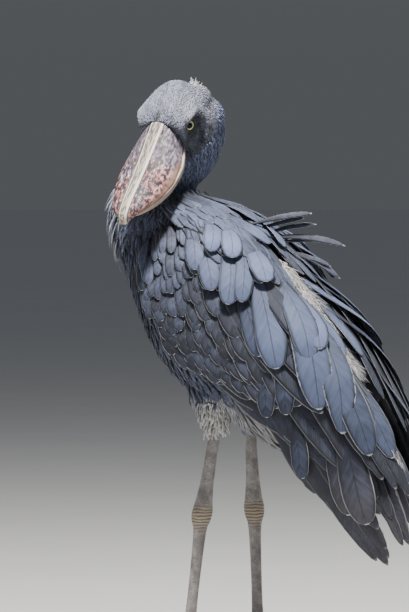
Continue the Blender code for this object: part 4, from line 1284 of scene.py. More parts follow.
@dataclass
class Tail:
    """The folded tail feathers and the pale coverts under them."""

    skin: Skin
    feathers: int = 11
    coverts: int = 26
    height: float = 0.018
    start: float = 0.436
    end: float = 0.66
    half_width: float = 0.0145
    covert_half_width: float = 0.0075
    rows: int = 14

    def build(self) -> Piece:
        """The tail as one piece."""
        chance = np.random.default_rng(61)
        blades = Blades("tail_plumage", columns=9, camber=0.1, thickness=0.0009)
        t = (1 - (1 - np.linspace(0, 1, self.rows)) ** 1.3)[None, :]
        fan = np.linspace(-1, 1, self.feathers)[:, None]
        fan = fan * np.where(np.arange(self.feathers) % 2 == 0, 1.0, 0.96)[:, None]
        reach = self.end - 0.018 * fan**2 + chance.uniform(-0.003, 0.003, fan.shape)
        behind = self.start + (reach - self.start) * t
        lowered = self.height - 0.0115 * np.abs(fan) * np.minimum(1.0, 2.5 * t)
        across = 0.016 * fan + 0.03 * fan * t
        looks = np.tile(np.array((0.3, 0.35, 0.0, 0.25)), (self.feathers, 1))
        looks[:, 0] += chance.uniform(-0.05, 0.05, self.feathers)
        self.lay(blades, behind, lowered, across, self.half_width, looks, 1.0)
        count = self.coverts
        fan = chance.uniform(-1, 1, (count, 1))
        start = chance.uniform(0.425, 0.475, (count, 1))
        behind = start + chance.uniform(0.055, 0.085, (count, 1)) * t
        lowered = self.height - 0.01 - 0.006 * (1 - fan**2) - 0.003 * t
        across = 0.03 * fan + 0.008 * fan * t
        looks = np.tile(np.array((0.62, 0.2, 0.45, 0.25)), (count, 1))
        self.lay(blades, behind, lowered, across, self.covert_half_width, looks, -1.0)
        return blades.make()

    def lay(
        self, blades: Blades, behind: Array, height: Array, across: Array, half: float,
        looks: Array, facing: float,
    ) -> None:
        """Adds feathers given by distance behind the shoulder, height and place across."""
        lines = trunk_point(behind, height, across)
        outs = np.broadcast_to(DORSAL * facing, lines.shape)
        halves = half * outline(np.linspace(0, 1, self.rows), 0.45, 0.7, 0.12, 0.55)
        halves = np.broadcast_to(halves, lines.shape[:2])
        blades.add(lines, outs, halves, looks, self.skin.seats_of(lines[:, 0]))


@dataclass
class LoosePlumes:
    """Down and loose feathers: the crest, throat, ridge of the back and thighs."""

    skin: Skin
    sheet: WingSheet
    thigh: Thigh

    def strands(
        self, blades: Blades, roots: Array, tips: Array, bows: Array, halves: Array,
        looks: Array, rows: int = 7,
    ) -> None:
        """Adds strands from root to tip that bow aside between their ends.

        Args:
            blades: what they are added to.
            roots: where they start.
            tips: where they end.
            bows: how far the middle of each is moved.
            halves: half widths.
            looks: brightness, rim, paleness and brown of each.
            rows: rows of points along each.
        """
        shape = outline(np.linspace(0, 1, rows), 0.5, 0.35, 0.1, 1.0)
        t = np.linspace(0, 1, rows)[None, :, None]
        lines = roots[:, None] * (1 - t) + tips[:, None] * t + bows[:, None] * np.sin(math.pi * t)
        outs = np.broadcast_to(bows[:, None] + (tips - roots)[:, None] * 0.01, lines.shape)
        blades.add(lines, outs, halves[:, None] * shape, looks, self.skin.seats_of(roots))

    def crest(self) -> Piece:
        """The small ragged crest at the back of the crown."""
        chance = np.random.default_rng(81)
        blades = Blades("crest", columns=3, camber=0.2)
        each = 9
        tips = np.array((
            (-0.08, 0.022, 0.026), (-0.078, 0.034, 0.014), (-0.07, 0.046, 0.004), (-0.082, 0.008, 0.018),
        ))
        ends = np.repeat(tips, each, axis=0) + chance.normal(0, 0.0022, (len(tips) * each, 3))
        spread = chance.uniform(0.42, 0.9, (len(ends), 1))
        starts = np.array((-0.05, 0.02, 0.012)) + chance.normal(0, (0.003, 0.006, 0.003), ends.shape)
        ends = starts + (ends - starts) * spread
        roots, tips = head_point(*starts.T), head_point(*ends.T)
        bows = unit(roots - HEAD_CENTRE) * chance.uniform(0.0005, 0.003, (len(ends), 1))
        looks = looks_of(0.8, 0.2, chance.uniform(0.55, 1.0, len(ends)), 0.0)
        self.strands(blades, roots, tips, bows, chance.uniform(0.001, 0.0022, len(ends)), looks)
        return blades.make()

    def ridge_down(self) -> Piece:
        """White down that shows along the ridge of the back between the wings."""
        chance = np.random.default_rng(82)
        blades = Blades("ridge_down", columns=3, camber=0.3)
        count = 300
        # Distance behind the shoulder, spread along the ridge and turn from it.
        patches = ((0.15, 0.014, 1.5), (0.21, 0.016, -1.5), (0.262, 0.008, 0.0), (0.345, 0.014, 3.0),
                   (0.425, 0.014, 10.0), (0.48, 0.016, 17.0), (0.535, 0.014, 25.0))
        for middle, spread, turn in patches:
            behind = chance.normal(middle, spread, (count, 1))
            turns = chance.normal(turn, 2.6, (count, 1))
            roots = self.sheet.point(behind, turns, 1, 0.002)[:, 0]
            reach = chance.uniform(0.016, 0.04, (count, 1))
            tips = self.sheet.point(
                behind + reach, turns + chance.normal(0, 3.5, (count, 1)), 1,
                chance.uniform(0.005, 0.012, (count, 1)),
            )[:, 0]
            bows = chance.normal(0, 0.0012, roots.shape) + DORSAL * 0.0015
            pale = chance.uniform(0.6, 1.0, count)
            looks = looks_of(0.75, 0.0, pale, chance.uniform(0, 0.25, count))
            self.strands(blades, roots, tips, bows, chance.uniform(0.0004, 0.001, count), looks, 6)
        return blades.make()

    def thigh_tufts(self) -> Piece:
        """Ruffled white down low on the thighs."""
        chance = np.random.default_rng(83)
        blades = Blades("thigh_tufts", columns=3, camber=0.3)
        count, clumps = 330, 30
        # Heading of the tufts on the left and right thigh, and how pale they are.
        for side, degrees, dull, bright in ((1, 28, 0.7, 1.0), (-1, 170, 0.3, 0.7)):
            share = chance.uniform(0.34, 0.82, (count, 1))
            turn = math.radians(degrees) + chance.normal(0, 0.5, (count, 1))
            out = np.concatenate([np.cos(turn), np.sin(turn), np.zeros_like(turn)], 1)
            reach = 0.031 - 0.012 * (share - 0.5)
            roots = self.thigh.axis(share[:, 0], side) + out * (reach - 0.006)
            clump = unit(chance.normal(0, 1, (clumps, 3)))[chance.integers(0, clumps, count)]
            tips = roots + clump * 0.007 + out * chance.uniform(0.003, 0.009, (count, 1))
            tips = tips - UPWARD * chance.uniform(0.008, 0.022, (count, 1))
            bows = out * 0.004 + chance.normal(0, 0.0012, roots.shape)
            looks = looks_of(0.8, 0.0, chance.uniform(dull, bright, count), 0.0)
            self.strands(blades, roots, tips, bows, chance.uniform(0.0016, 0.0042, count), looks, 6)
        return blades.make()

    def throat(self) -> Piece:
        """Long loose pale feathers that hang from the throat and front of the neck."""
        chance = np.random.default_rng(84)
        blades = Blades("throat_plumes", columns=5, camber=0.25)
        count = 260
        height = chance.normal(0.8, 0.038, count)
        turn = np.radians(272 + 48 * np.clip(chance.normal(0, 0.55, count), -1, 1))
        centre = np.stack([np.full(count, -0.022), np.full(count, -0.168), height], -1) + STANCE
        out = np.stack([np.cos(turn), np.sin(turn), np.zeros(count)], -1)
        found = [self.skin.nearest(guess) for guess in centre + out * 0.076]
        roots = np.array([spot for spot, _ in found])
        normals = self.skin.normal_of(np.array([triangle for _, triangle in found]))
        down = np.array((0.0, 0.1, -1.0))
        down = unit(down - normals * (normals @ down)[:, None])
        length = chance.uniform(0.03, 0.055, (count, 1))
        tips = roots + down * length + normals * chance.uniform(0.006, 0.013, (count, 1))
        bows = normals * chance.uniform(0.002, 0.006, (count, 1))
        looks = looks_of(0.62, 0.4, chance.uniform(0.05, 0.6, count), 0.02)
        self.strands(blades, roots, tips, bows, chance.uniform(0.0028, 0.0056, count), looks, 8)
        return blades.make()

    def windblown(self) -> Piece:
        """Long back feathers that the wind has lifted off the far shoulder."""
        blades = Blades("lifted_plumes", columns=7, camber=0.18, thickness=0.0008)
        rows = 14
        shape = outline(np.linspace(0, 1, rows), 0.35, 0.72, 0.1, 0.75)
        looks = np.array([[0.12, 1.0, 0.03, 0.05]])
        # Root behind and turn, tip to the right and up in the view, bow and half width.
        sizes = (
            (0.04, -2.0, 0.142, 0.786, 0.006, 0.006),
            (0.052, -5.0, 0.128, 0.778, 0.003, 0.0048),
            (0.066, -8.0, 0.15, 0.766, 0.008, 0.0052),
            (0.076, -10.0, 0.202, 0.727, 0.014, 0.0075),
            (0.09, -12.0, 0.186, 0.733, 0.01, 0.005),
            (0.112, -14.0, 0.193, 0.668, 0.016, 0.008),
            (0.128, -16.0, 0.176, 0.69, 0.012, 0.0055),
        )
        for behind, turn, right, high, bow, half in sizes:
            root = self.sheet.point(np.array([behind]), np.array([turn]), 1, 0.004)[0]
            away = root - STANCE
            tip = root + VIEW_RIGHT * (right - away @ VIEW_RIGHT)
            tip[2] = high
            t = np.linspace(0, 1, rows)[:, None]
            line = root + (tip - root) * t + UPWARD * (2.4 * bow * t * (1 - t))
            outs = np.broadcast_to(DORSAL * 0.9 + TOWARDS_VIEW * 0.45, line.shape)
            halves = (0.95 * half * shape)[None]
            blades.add(line[None], outs[None], halves, looks, self.skin.seats_of([root]))
        return blades.make()


@dataclass
class Bill:
    """The two halves of the bill, the great keeled upper one and the shallow lower one."""

    face: float = BILL_FACE
    # Distance from the face, half width, culmen, cutting edge.
    upper: Keys = (
        (0.0, 0.034, 0.03, -0.027),
        (0.02, 0.0415, 0.0258, -0.029),
        (0.048, 0.0485, 0.0192, -0.03),
        (0.095, 0.052, 0.0108, -0.0285),
        (0.13, 0.046, 0.0058, -0.0245),
        (0.16, 0.0365, 0.0018, -0.019),
        (0.182, 0.0255, -0.0032, -0.016),
        (0.195, 0.0135, -0.0085, -0.019),
        (0.204, 0.0045, -0.0165, -0.025),
    )
    # Distance from the face, half width, top, keel.
    lower: Keys = (
        (0.0, 0.037, -0.0275, -0.057),
        (0.022, 0.0455, -0.0296, -0.0595),
        (0.05, 0.0525, -0.0305, -0.059),
        (0.095, 0.053, -0.029, -0.0545),
        (0.13, 0.0465, -0.025, -0.047),
        (0.16, 0.035, -0.0196, -0.0365),
        (0.18, 0.0215, -0.0172, -0.027),
        (0.189, 0.009, -0.0185, -0.0225),
    )
    keel_height: float = 0.0022
    stations: int = 110

    def upper_half(self) -> Piece:
        """The upper half, with its keel, grooves, nostrils and hook."""
        out = np.linspace(0.0, BILL_LENGTH, self.stations)[:, None]
        wide, culmen, edge = (through(self.upper, n, out) for n in (1, 2, 3))
        turn = np.linspace(0, math.pi, 97)[None, :]
        side = np.sign(np.cos(turn)) * np.abs(np.cos(turn)) ** 0.9
        rise = np.sin(turn) ** 0.8
        left = wide * side
        keel = KEEL_HALF - KEEL_NARROWS * out / BILL_LENGTH
        ridge = np.exp(-((left / keel) ** 4))
        groove = np.exp(-(((np.abs(left) - keel * 1.25) / 0.0022) ** 2))
        second = np.exp(-(((np.abs(left) - keel * 2.4) / 0.004) ** 2))
        fade = ease(0.0, 0.01, out) * ease(0.2, 0.15, out)
        up = edge + (culmen - edge) * rise + self.keel_height * ridge
        up = up + fade * (0.0007 * second - 0.0012 * groove)
        wave = 0.0005 * np.sin(out * 150 + 1.0) * (rise < 0.6)
        left = left * (1 + 0.01 * np.exp(-((rise - 0.1) ** 2) / 0.004)) + np.sign(left) * wave
        slit_side = (np.abs(left) - NOSTRIL_ASIDE) / 0.0011
        up = up - 0.003 * np.exp(-(((out - NOSTRIL_OUT) / 0.005) ** 2) - slit_side**2)
        steps = np.linspace(1, -1, 26)[None, 1:-1]
        floor_left = -wide * steps
        floor_up = edge + 0.0008 * (1 - steps**2) + np.zeros_like(floor_left)
        left = np.concatenate([left, floor_left], axis=1)
        up = np.concatenate([up, floor_up], axis=1)
        return wrap_grid("upper_bill_horn", head_point(self.face + out, left, up))

    def lower_half(self) -> Piece:
        """The lower half, flat along the mouth and rounded below."""
        out = np.linspace(0.0, 0.189, self.stations)[:, None]
        wide, top, keel = (through(self.lower, n, out) for n in (1, 2, 3))
        turn = np.linspace(0, math.pi, 73)[None, :]
        side = np.sign(np.cos(turn)) * np.abs(np.cos(turn)) ** 0.55
        left = wide * side
        up = top + (keel - top) * np.sin(turn)
        line = np.exp(-(((np.abs(left) - 0.01) / 0.003) ** 2)) * (np.sin(turn) > 0.8)
        up = up + 0.0006 * line
        steps = np.linspace(1, -1, 20)[None, 1:-1]
        left = np.concatenate([left, -wide * steps], axis=1)
        up = np.concatenate([up, top - 0.0006 * (1 - steps**2) + np.zeros_like(wide * steps)], axis=1)
        return wrap_grid("lower_bill_horn", head_point(self.face + out, left, up))


@dataclass
class Legs:
    """The bare legs, feet and claws."""

    # Each joint of the left leg and of the right one, both as if on the left.
    thigh_ends: tuple[Triple, ...] = ((0.066, -0.001, 0.3837),) * 2
    hocks: tuple[Triple, ...] = ((0.072, -0.024, 0.243), (0.068, 0.006, 0.243))
    ankles: tuple[Triple, ...] = ((0.078, -0.048, 0.026), (0.075, 0.01, 0.026))
    shank: Keys = (
        (0.0, 0.0098, 0.0105),
        (0.3, 0.0102, 0.0112),
        (0.62, 0.0118, 0.013),
        (0.82, 0.0142, 0.0165),
        (0.92, 0.0165, 0.019),
        (1.0, 0.0168, 0.0188),
    )
    tarsus: Keys = (
        (0.0, 0.0166, 0.0184),
        (0.035, 0.0158, 0.017),
        (0.09, 0.0125, 0.0128),
        (0.25, 0.0105, 0.0108),
        (0.6, 0.0092, 0.0098),
        (0.85, 0.01, 0.0108),
        (1.0, 0.0128, 0.0136),
    )
    # Heading from straight ahead, length, and radius at root and tip.
    toes: Keys = (
        (-24.0, 0.125, 0.0085, 0.0056),
        (1.0, 0.165, 0.0095, 0.006),
        (27.0, 0.135, 0.0085, 0.0056),
        (172.0, 0.075, 0.0085, 0.0056),
    )
    knuckles: Keys = (
        (0.0, 1.0), (0.12, 0.95), (0.24, 0.93), (0.31, 1.12), (0.4, 0.94), (0.55, 0.92),
        (0.64, 1.13), (0.73, 0.93), (0.85, 0.94), (0.92, 1.1), (1.0, 0.9),
    )
    claw_length: float = 0.022
    # Share of the claw's length, radius and height of its middle, as shares of the toe's radius.
    claw: Keys = (
        (-0.22, 0.55, 0.85), (0.0, 0.78, 0.92), (0.35, 0.62, 0.98), (0.7, 0.38, 0.72), (1.0, 0.07, 0.16),
    )
    folds: float = 0.035
    sides: int = 36

    def place(self, points: Sequence[Triple], side: int) -> Array:
        """One joint of the left or right leg."""
        return np.array(points[0 if side > 0 else 1]) * (side, 1, 1) + STANCE

    def limb(self, upper: Array, lower: Array, keys: Keys) -> Array:
        """Rings down one bare length of leg, with folds of skin where it meets the hock."""
        share = np.linspace(0, 1, 120)
        centres = upper + (lower - upper) * share[:, None]
        wide, deep = through(keys, 1, share), through(keys, 2, share)
        near = np.exp(-(((centres[:, 2] - 0.246) / 0.014) ** 2))
        fold = 1 + self.folds * near * np.sin(centres[:, 2] * FOLD_WAVES + 1.5 * np.sin(centres[:, 2] * 260))
        across, along = (wide * fold)[:, None] * SIDEWAYS, (deep * fold)[:, None] * LENGTHWISE
        return ellipse_rings(centres, across, along, self.sides)

    def heading(self, degrees: float, side: int) -> Array:
        """The direction that a toe points in."""
        turn = math.radians(degrees)
        return np.array((side * math.sin(turn), -math.cos(turn), 0.0))

    def toe_rings(self, root: Array, toe: Sequence[float], side: int) -> Array:
        """Rings along a toe that is flat below and swells at its joints."""
        degrees, length, thick, thin = toe
        heading = self.heading(degrees, side)
        across = np.array((-heading[1], heading[0], 0.0))
        share = np.linspace(0, 1, 60)
        radius = (thick + (thin - thick) * share) * through(self.knuckles, 1, share)
        low = radius * math.cos(math.pi / 6)
        centres = root + heading * (length * share)[:, None] + UPWARD * low[:, None]
        rings = ellipse_rings(centres, across * radius[:, None], UPWARD * radius[:, None], 24)
        rings[..., 2] = np.maximum(rings[..., 2], 0.0004)
        return rings

    def leg(self, name: str, side: int) -> Piece:
        """One bare leg with its foot, as one skin."""
        joints = (self.thigh_ends, self.hocks, self.ankles)
        thigh_end, hock, ankle = (self.place(points, side) for points in joints)
        root = ankle * (1, 1, 0)
        heights = np.linspace(ankle[2] + 0.004, 0.003, 24)[:, None]
        wide = np.interp(heights, (0.003, 0.016, 0.03), (0.012, 0.0145, 0.0126))
        knob = ellipse_rings(root + UPWARD * heights, wide * SIDEWAYS, wide * 1.06 * LENGTHWISE, self.sides)
        lofts = [
            wrap_grid("shank", self.limb(thigh_end + 0.004 * UPWARD, hock, self.shank)),
            wrap_grid("tarsus", self.limb(hock, ankle, self.tarsus)),
            wrap_grid("knob", knob),
        ]
        for toe in self.toes:
            lofts.append(wrap_grid("toe", self.toe_rings(root, toe, side)))
        piece = fuse(name, lofts, 0.0016)
        places = coordinates(piece)
        places[:, 2] = np.maximum(places[:, 2], 0.0)
        set_coordinates(piece, places)
        return piece

    def claws(self, name: str, side: int) -> Piece:
        """The four claws of one foot."""
        root = self.place(self.ankles, side) * (1, 1, 0)
        lofts = []
        for degrees, length, _, thin in self.toes:
            heading = self.heading(degrees, side)
            across = np.array((-heading[1], heading[0], 0.0))
            shares, sizes, heights = np.array(self.claw).T
            share = np.linspace(shares[0], 1, 30)
            radius = (thin * np.interp(share, shares, sizes))[:, None]
            centres = root + heading * (length + self.claw_length * share)[:, None]
            centres = centres + UPWARD * (thin * np.interp(share, shares, heights))[:, None]
            lofts.append(wrap_grid("claw", ellipse_rings(centres, across * radius, UPWARD * radius, 20)))
        pick(*lofts)
        bpy.ops.object.join()
        piece = bpy.context.object
        piece.name = name
        return piece


@dataclass(frozen=True)
class Signal:
    """What a node puts out. A sum or a product of signals adds a node of its own."""

    graph: "Graph"
    socket: bpy.types.NodeSocket

    def __add__(self, other: "Signal | float") -> "Signal":
        """The sum with another signal or a number."""
        return self.graph.math("ADD", self, other)

    def __sub__(self, other: "Signal | float") -> "Signal":
        """This signal less another or a number."""
        return self.graph.math("SUBTRACT", self, other)

    def __rsub__(self, other: float) -> "Signal":
        """A number less this signal."""
        return self.graph.math("SUBTRACT", other, self)

    def __mul__(self, other: "Signal | float") -> "Signal":
        """The product with another signal or a number."""
        return self.graph.math("MULTIPLY", self, other)

    def __truediv__(self, other: float) -> "Signal":
        """This signal over a number."""
        return self.graph.math("DIVIDE", self, other)

    __radd__ = __add__


class Graph:
    """A tree of shader nodes being put together."""

    def __init__(self, tree: NodeTree) -> None:
        """Starts in the tree of a material, a group or a world."""
        self.tree = tree

    def plug(self, socket: bpy.types.NodeSocket, value: object) -> None:
        """Links a socket to a signal, or sets it to a number, a vector or a colour."""
        if isinstance(value, Signal):
            self.tree.links.new(value.socket, socket)
        elif value is not None:
            colour = isinstance(value, tuple) and socket.type == "RGBA"
            socket.default_value = (*value, 1.0) if colour else value

    def add(self, kind: str, *links: object, **settings: object) -> bpy.types.Node:
        """Adds a node.

        Args:
            kind: the node's type, without the words that all share.
            links: what goes into its sockets in order, with None to leave one as it is.
            settings: with a small letter a property of the node, and with a capital a socket.

        Returns:
            The node.
        """
        made = self.tree.nodes.new("ShaderNode" + kind)
        sockets = {name: value for name, value in settings.items() if name[0].isupper()}
        for name in settings.keys() - sockets.keys():
            setattr(made, name, settings[name])
        for socket, value in zip(made.inputs, links):
            self.plug(socket, value)
        for name, value in sockets.items():
            self.plug(made.inputs[name], value)
        return made

    def node(self, kind: str, *links: object, output: str | int = 0, **settings: object) -> Signal:
        """Adds a node and gives one of its outputs, by name or number."""
        return Signal(self, self.add(kind, *links, **settings).outputs[output])

    def parts(self, kind: str, *links: object) -> list[Signal]:
        """Adds a node and gives all of its outputs."""
        return [Signal(self, socket) for socket in self.add(kind, *links).outputs]

    def math(self, operation: str, *values: object) -> Signal:
        """A number worked out from others."""
        return self.node("Math", *values, operation=operation)

    def vectors(self, operation: str, *values: object, output: str = "Vector") -> Signal:
        """A vector or a number worked out from vectors."""
        return self.node("VectorMath", *values, output=output, operation=operation)

    def vector(self, x: object, y: object, z: object) -> Signal:
        """A vector from three numbers."""
        return self.node("CombineXYZ", x, y, z)

    def scaled(self, colour: object, share: float) -> Signal:
        """A colour made darker or lighter."""
        return self.vectors("SCALE", colour, None, None, share)

    def ease(self, value: object, low: object, high: object) -> Signal:
        """Zero at low, one at high and smooth between."""
        return self.node("MapRange", value, low, high, 0.0, 1.0, interpolation_type="SMOOTHSTEP")

    def blend(self, share: object, first: object, second: object) -> Signal:
        """A colour between two others."""
        unused = [None] * 5
        return self.node("Mix", share, *unused, first, second, output=2, data_type="RGBA")

    def noise(self, vector: object, scale: float, detail: float = 3.0, rough: float = 0.5) -> Signal:
        """A noise between zero and one."""
        return self.node("TexNoise", vector, Scale=scale, Detail=detail, Roughness=rough)


class Effect(Graph):
    """A group of nodes that is built once and placed in each finish that needs it."""

    def __init__(self, name: str, **inputs: Sequence[str]) -> None:
        """Starts the group.

        Args:
            name: the group's name.
            inputs: the names of its inputs, by the kind of their sockets.
        """
        super().__init__(bpy.data.node_groups.new(name, "ShaderNodeTree"))
        for kind, names in inputs.items():
            for each in names:
                self.tree.interface.new_socket(each, in_out="INPUT", socket_type="NodeSocket" + kind)
        self.start = self.tree.nodes.new("NodeGroupInput")

    def given(self, *names: str) -> Iterator[Signal]:
        """Some of the group's inputs."""
        return (Signal(self, self.start.outputs[name]) for name in names)

    def give(self, **results: Signal) -> NodeTree:
        """Names what the group puts out, and gives the group."""
        end = self.tree.nodes.new("NodeGroupOutput")
        for name, value in results.items():
            kind = "NodeSocketColor" if value.socket.type == "RGBA" else "NodeSocketFloat"
            self.tree.interface.new_socket(name, in_out="OUTPUT", socket_type=kind)
            self.plug(end.inputs[name], value)
        return self.tree


class Finish(Graph):
    """A material of one Principled shader being put together."""

    def __init__(self, name: str) -> None:
        """Starts the material of this name."""
        self.material = bpy.data.materials.new(name)
        self.material.use_nodes = True
        super().__init__(self.material.node_tree)
        self.shader = self.tree.nodes["Principled BSDF"]

    def own(self) -> Signal:
        """The object's own coordinates, in metres."""
        return self.node("TexCoord", output="Object")

    def place(self, effect: NodeTree, **values: object) -> dict[str, Signal]:
        """Places an effect with this finish's own values, and gives what it puts out by name."""
        made = self.add("Group", node_tree=effect)
        for name, value in values.items():
            self.plug(made.inputs[name.replace("_", " ")], value)
        return {socket.name: Signal(self, socket) for socket in made.outputs}

    def bump(self, height: Signal, strength: float, distance: float) -> None:
        """Raises the surface by a height, and feeds the shader's normal."""
        raised = self.node("Bump", Strength=strength, Distance=distance, Height=height)
        self.plug(self.shader.inputs["Normal"], raised)

    def done(self, **values: object) -> Material:
        """Sets the shader's sockets by name, with spaces written as low lines."""
        for name, value in values.items():
            self.plug(self.shader.inputs[name.replace("_", " ")], value)
        return self.material


@cache
def feather_effect() -> NodeTree:
    """The group that draws a feather: its barbs, pale rim, shaft, shades of grey and brown, and painted shade
    at its root.
    """
    g = Effect(
        "feather_barbs",
        Vector=("Blade", "Size", "Place"),
        Color=("Looks", "Dark", "Light", "Rim", "Pale", "Brown"),
        Float=("Browned", "Barbs", "Rim width", "Shaft", "Roughness"),
    )
    blade, size, place = g.given("Blade", "Size", "Place")
    looks, dark, light, rim_colour, pale_colour, brown = g.given(
        "Looks", "Dark", "Light", "Rim", "Pale", "Brown"
    )
    browned, barbs, rim_width, shaft, roughness = g.given(
        "Browned", "Barbs", "Rim width", "Shaft", "Roughness"
    )
    u, v, _ = g.parts("SeparateXYZ", blade)
    length, half, _ = g.parts("SeparateXYZ", size)
    tone, rim, pale = g.parts("SeparateColor", looks)
    aside = g.math("ABSOLUTE", u * 2.0 - 1.0)
    barb = v * length - aside * half * 1.3
    run = g.vector(barb * barbs, aside * 1.2, g.noise(place, 9.0, 2.0))
    coarse = g.noise(run, 0.7, 3.0, 0.6)
    fine = g.noise(run, 3.2, 2.0)
    patch = g.noise(place, 38.0, 3.0, 0.6)
    value = tone + (coarse - 0.5) * 0.42 + (patch - 0.5) * 0.26
    # Darker towards the root, where the feather above covers it: painted shade. A little darker towards the
    # edges, in the feather's own colour.
    value = value - g.ease(v, 0.6, 0.0) * 0.24 - g.ease(aside, 0.6, 0.92) * 0.1
    value = g.math("MAXIMUM", value, 0.03)
    colour = g.blend(value, dark, light)
    brown_colour = g.blend(value, g.scaled(brown, 0.3), g.scaled(brown, 1.9))
    colour = g.blend(browned * g.ease(v, 0.15, 0.85), colour, brown_colour)
    colour = g.blend(pale, colour, g.blend(coarse, g.scaled(pale_colour, 0.62), pale_colour))
    edge = g.ease(aside, 1.0 - rim_width, 1.0 - rim_width * 0.25)
    worn = g.math("MAXIMUM", edge, g.ease(v, 0.955, 0.995)) * g.ease(v, 0.12, 0.5)
    colour = g.blend(worn * rim * g.ease(fine, 0.1, 0.45), colour, rim_colour)
    shaft_colour = g.blend(pale, g.scaled(dark, 0.5), pale_colour)
    colour = g.blend(g.ease(aside, 0.055, 0.015) * shaft, colour, shaft_colour)
    height = fine * 0.6 + coarse * 0.5 + g.ease(aside, 0.06, 0.0) * 0.8
    return g.give(Colour=colour, Roughness=roughness + coarse * 0.16, Height=height)


@dataclass(frozen=True)
class FeatherFinish:
    """A feather's colours and the scale of its barbs."""

    name: str
    dark: Triple = (0.012, 0.014, 0.022)
    light: Triple = (0.2, 0.255, 0.44)
    rim: Triple = (0.68, 0.68, 0.71)
    pale: Triple = (0.76, 0.73, 0.68)
    brown: Triple = (0.185, 0.16, 0.16)
    barbs: float = 420.0
    rim_width: float = 0.09
    shaft: float = 0.55
    roughness: float = 0.54
    bump: float = 0.55
    barb_height: float = 0.0009

    def make(self) -> Material:
        """The material, which reads each blade's own map and looks."""
        g = Finish(self.name)
        drawn = g.place(
            feather_effect(),
            Blade=g.node("UVMap", uv_map="Blade"),
            Size=g.node("Attribute", output="Vector", attribute_name="Size"),
            Looks=g.node("Attribute", output="Color", attribute_name="Looks"),
            Browned=g.node("Attribute", output="Alpha", attribute_name="Looks"),
            Place=g.own(), Dark=self.dark, Light=self.light, Rim=self.rim, Pale=self.pale,
            Brown=self.brown, Barbs=self.barbs, Rim_width=self.rim_width, Shaft=self.shaft,
            Roughness=self.roughness,
        )
        g.bump(drawn["Height"], self.bump, self.barb_height)
        return g.done(
            Base_Color=drawn["Colour"], Roughness=drawn["Roughness"], Specular_IOR_Level=0.22,
            Sheen_Weight=0.06, Sheen_Roughness=0.45, Sheen_Tint=(0.75, 0.8, 0.95),
        )


def skin_finish(eyes: Eyes) -> Material:
    """Dark underdown on the body and bare grey skin at the eyes and face."""
    g = Finish("under_plumage")
    own = g.own()
    fine = g.noise(own, 900.0, 2.0)
    colour = g.blend(g.noise(own, 60.0, 4.0), (0.022, 0.026, 0.034), (0.085, 0.096, 0.125))
    face_colour = g.blend(fine, (0.028, 0.036, 0.042), (0.115, 0.14, 0.16))
    lid_colour = g.blend(fine, (0.01, 0.012, 0.014), (0.045, 0.05, 0.055))
    # How far out along the gaze each colour is centred, and where it ends and is full.
    rounds = ((0.0, 0.03, 0.016, face_colour), (eyes.lid_out, 0.016, 0.014, lid_colour))
    for out, none, full, near_colour in rounds:
        left, right = (
            g.vectors("DISTANCE", own, tuple(eyes.centre(side) + eyes.way(side) * out), output="Value")
            for side in (1, -1)
        )
        near = g.math("MAXIMUM", g.ease(left, none, full), g.ease(right, none, full))
        colour = g.blend(near, colour, near_colour)
    folds = g.node("TexVoronoi", own, output="Distance", Scale=420.0)
    g.bump(folds + fine, 0.35, 0.0006)
    return g.done(Base_Color=colour, Roughness=0.62, Specular_IOR_Level=0.35, Sheen_Weight=0.1)


@cache
def iris_effect() -> NodeTree:
    """The group that draws a pale yellow iris with rays, a dark pupil and a dark rim."""
    g = Effect("iris_rings", Vector=("Place", "Centre", "Gaze"))
    place, centre, gaze = g.given("Place", "Centre", "Gaze")
    towards = g.vectors("NORMALIZE", g.vectors("SUBTRACT", place, centre))
    turn = g.math("ARCCOSINE", g.vectors("DOT_PRODUCT", towards, gaze, output="Value"))
    rays = g.noise(g.vectors("MULTIPLY", towards, (24.0, 24.0, 24.0)), 1.0, 4.0)
    iris = g.blend(rays, (0.48, 0.45, 0.16), (0.86, 0.84, 0.48))
    iris = g.blend(g.ease(turn, 0.5, 0.41), iris, (0.46, 0.4, 0.14))
    colour = g.blend(g.ease(turn, 0.41, 0.385), iris, (0.003, 0.003, 0.004))
    return g.give(Colour=g.blend(g.ease(turn, 0.72, 0.78), colour, (0.006, 0.006, 0.008)))


def eye_finish(name: str, centre: Array, way: Array) -> Material:
    """One iris under a wet cornea."""
    g = Finish(name)
    drawn = g.place(iris_effect(), Place=g.own(), Centre=tuple(centre), Gaze=tuple(way))
    return g.done(
        Base_Color=drawn["Colour"], Roughness=0.45, Specular_IOR_Level=0.12, Coat_Weight=0.15,
        Coat_Roughness=0.02,
    )


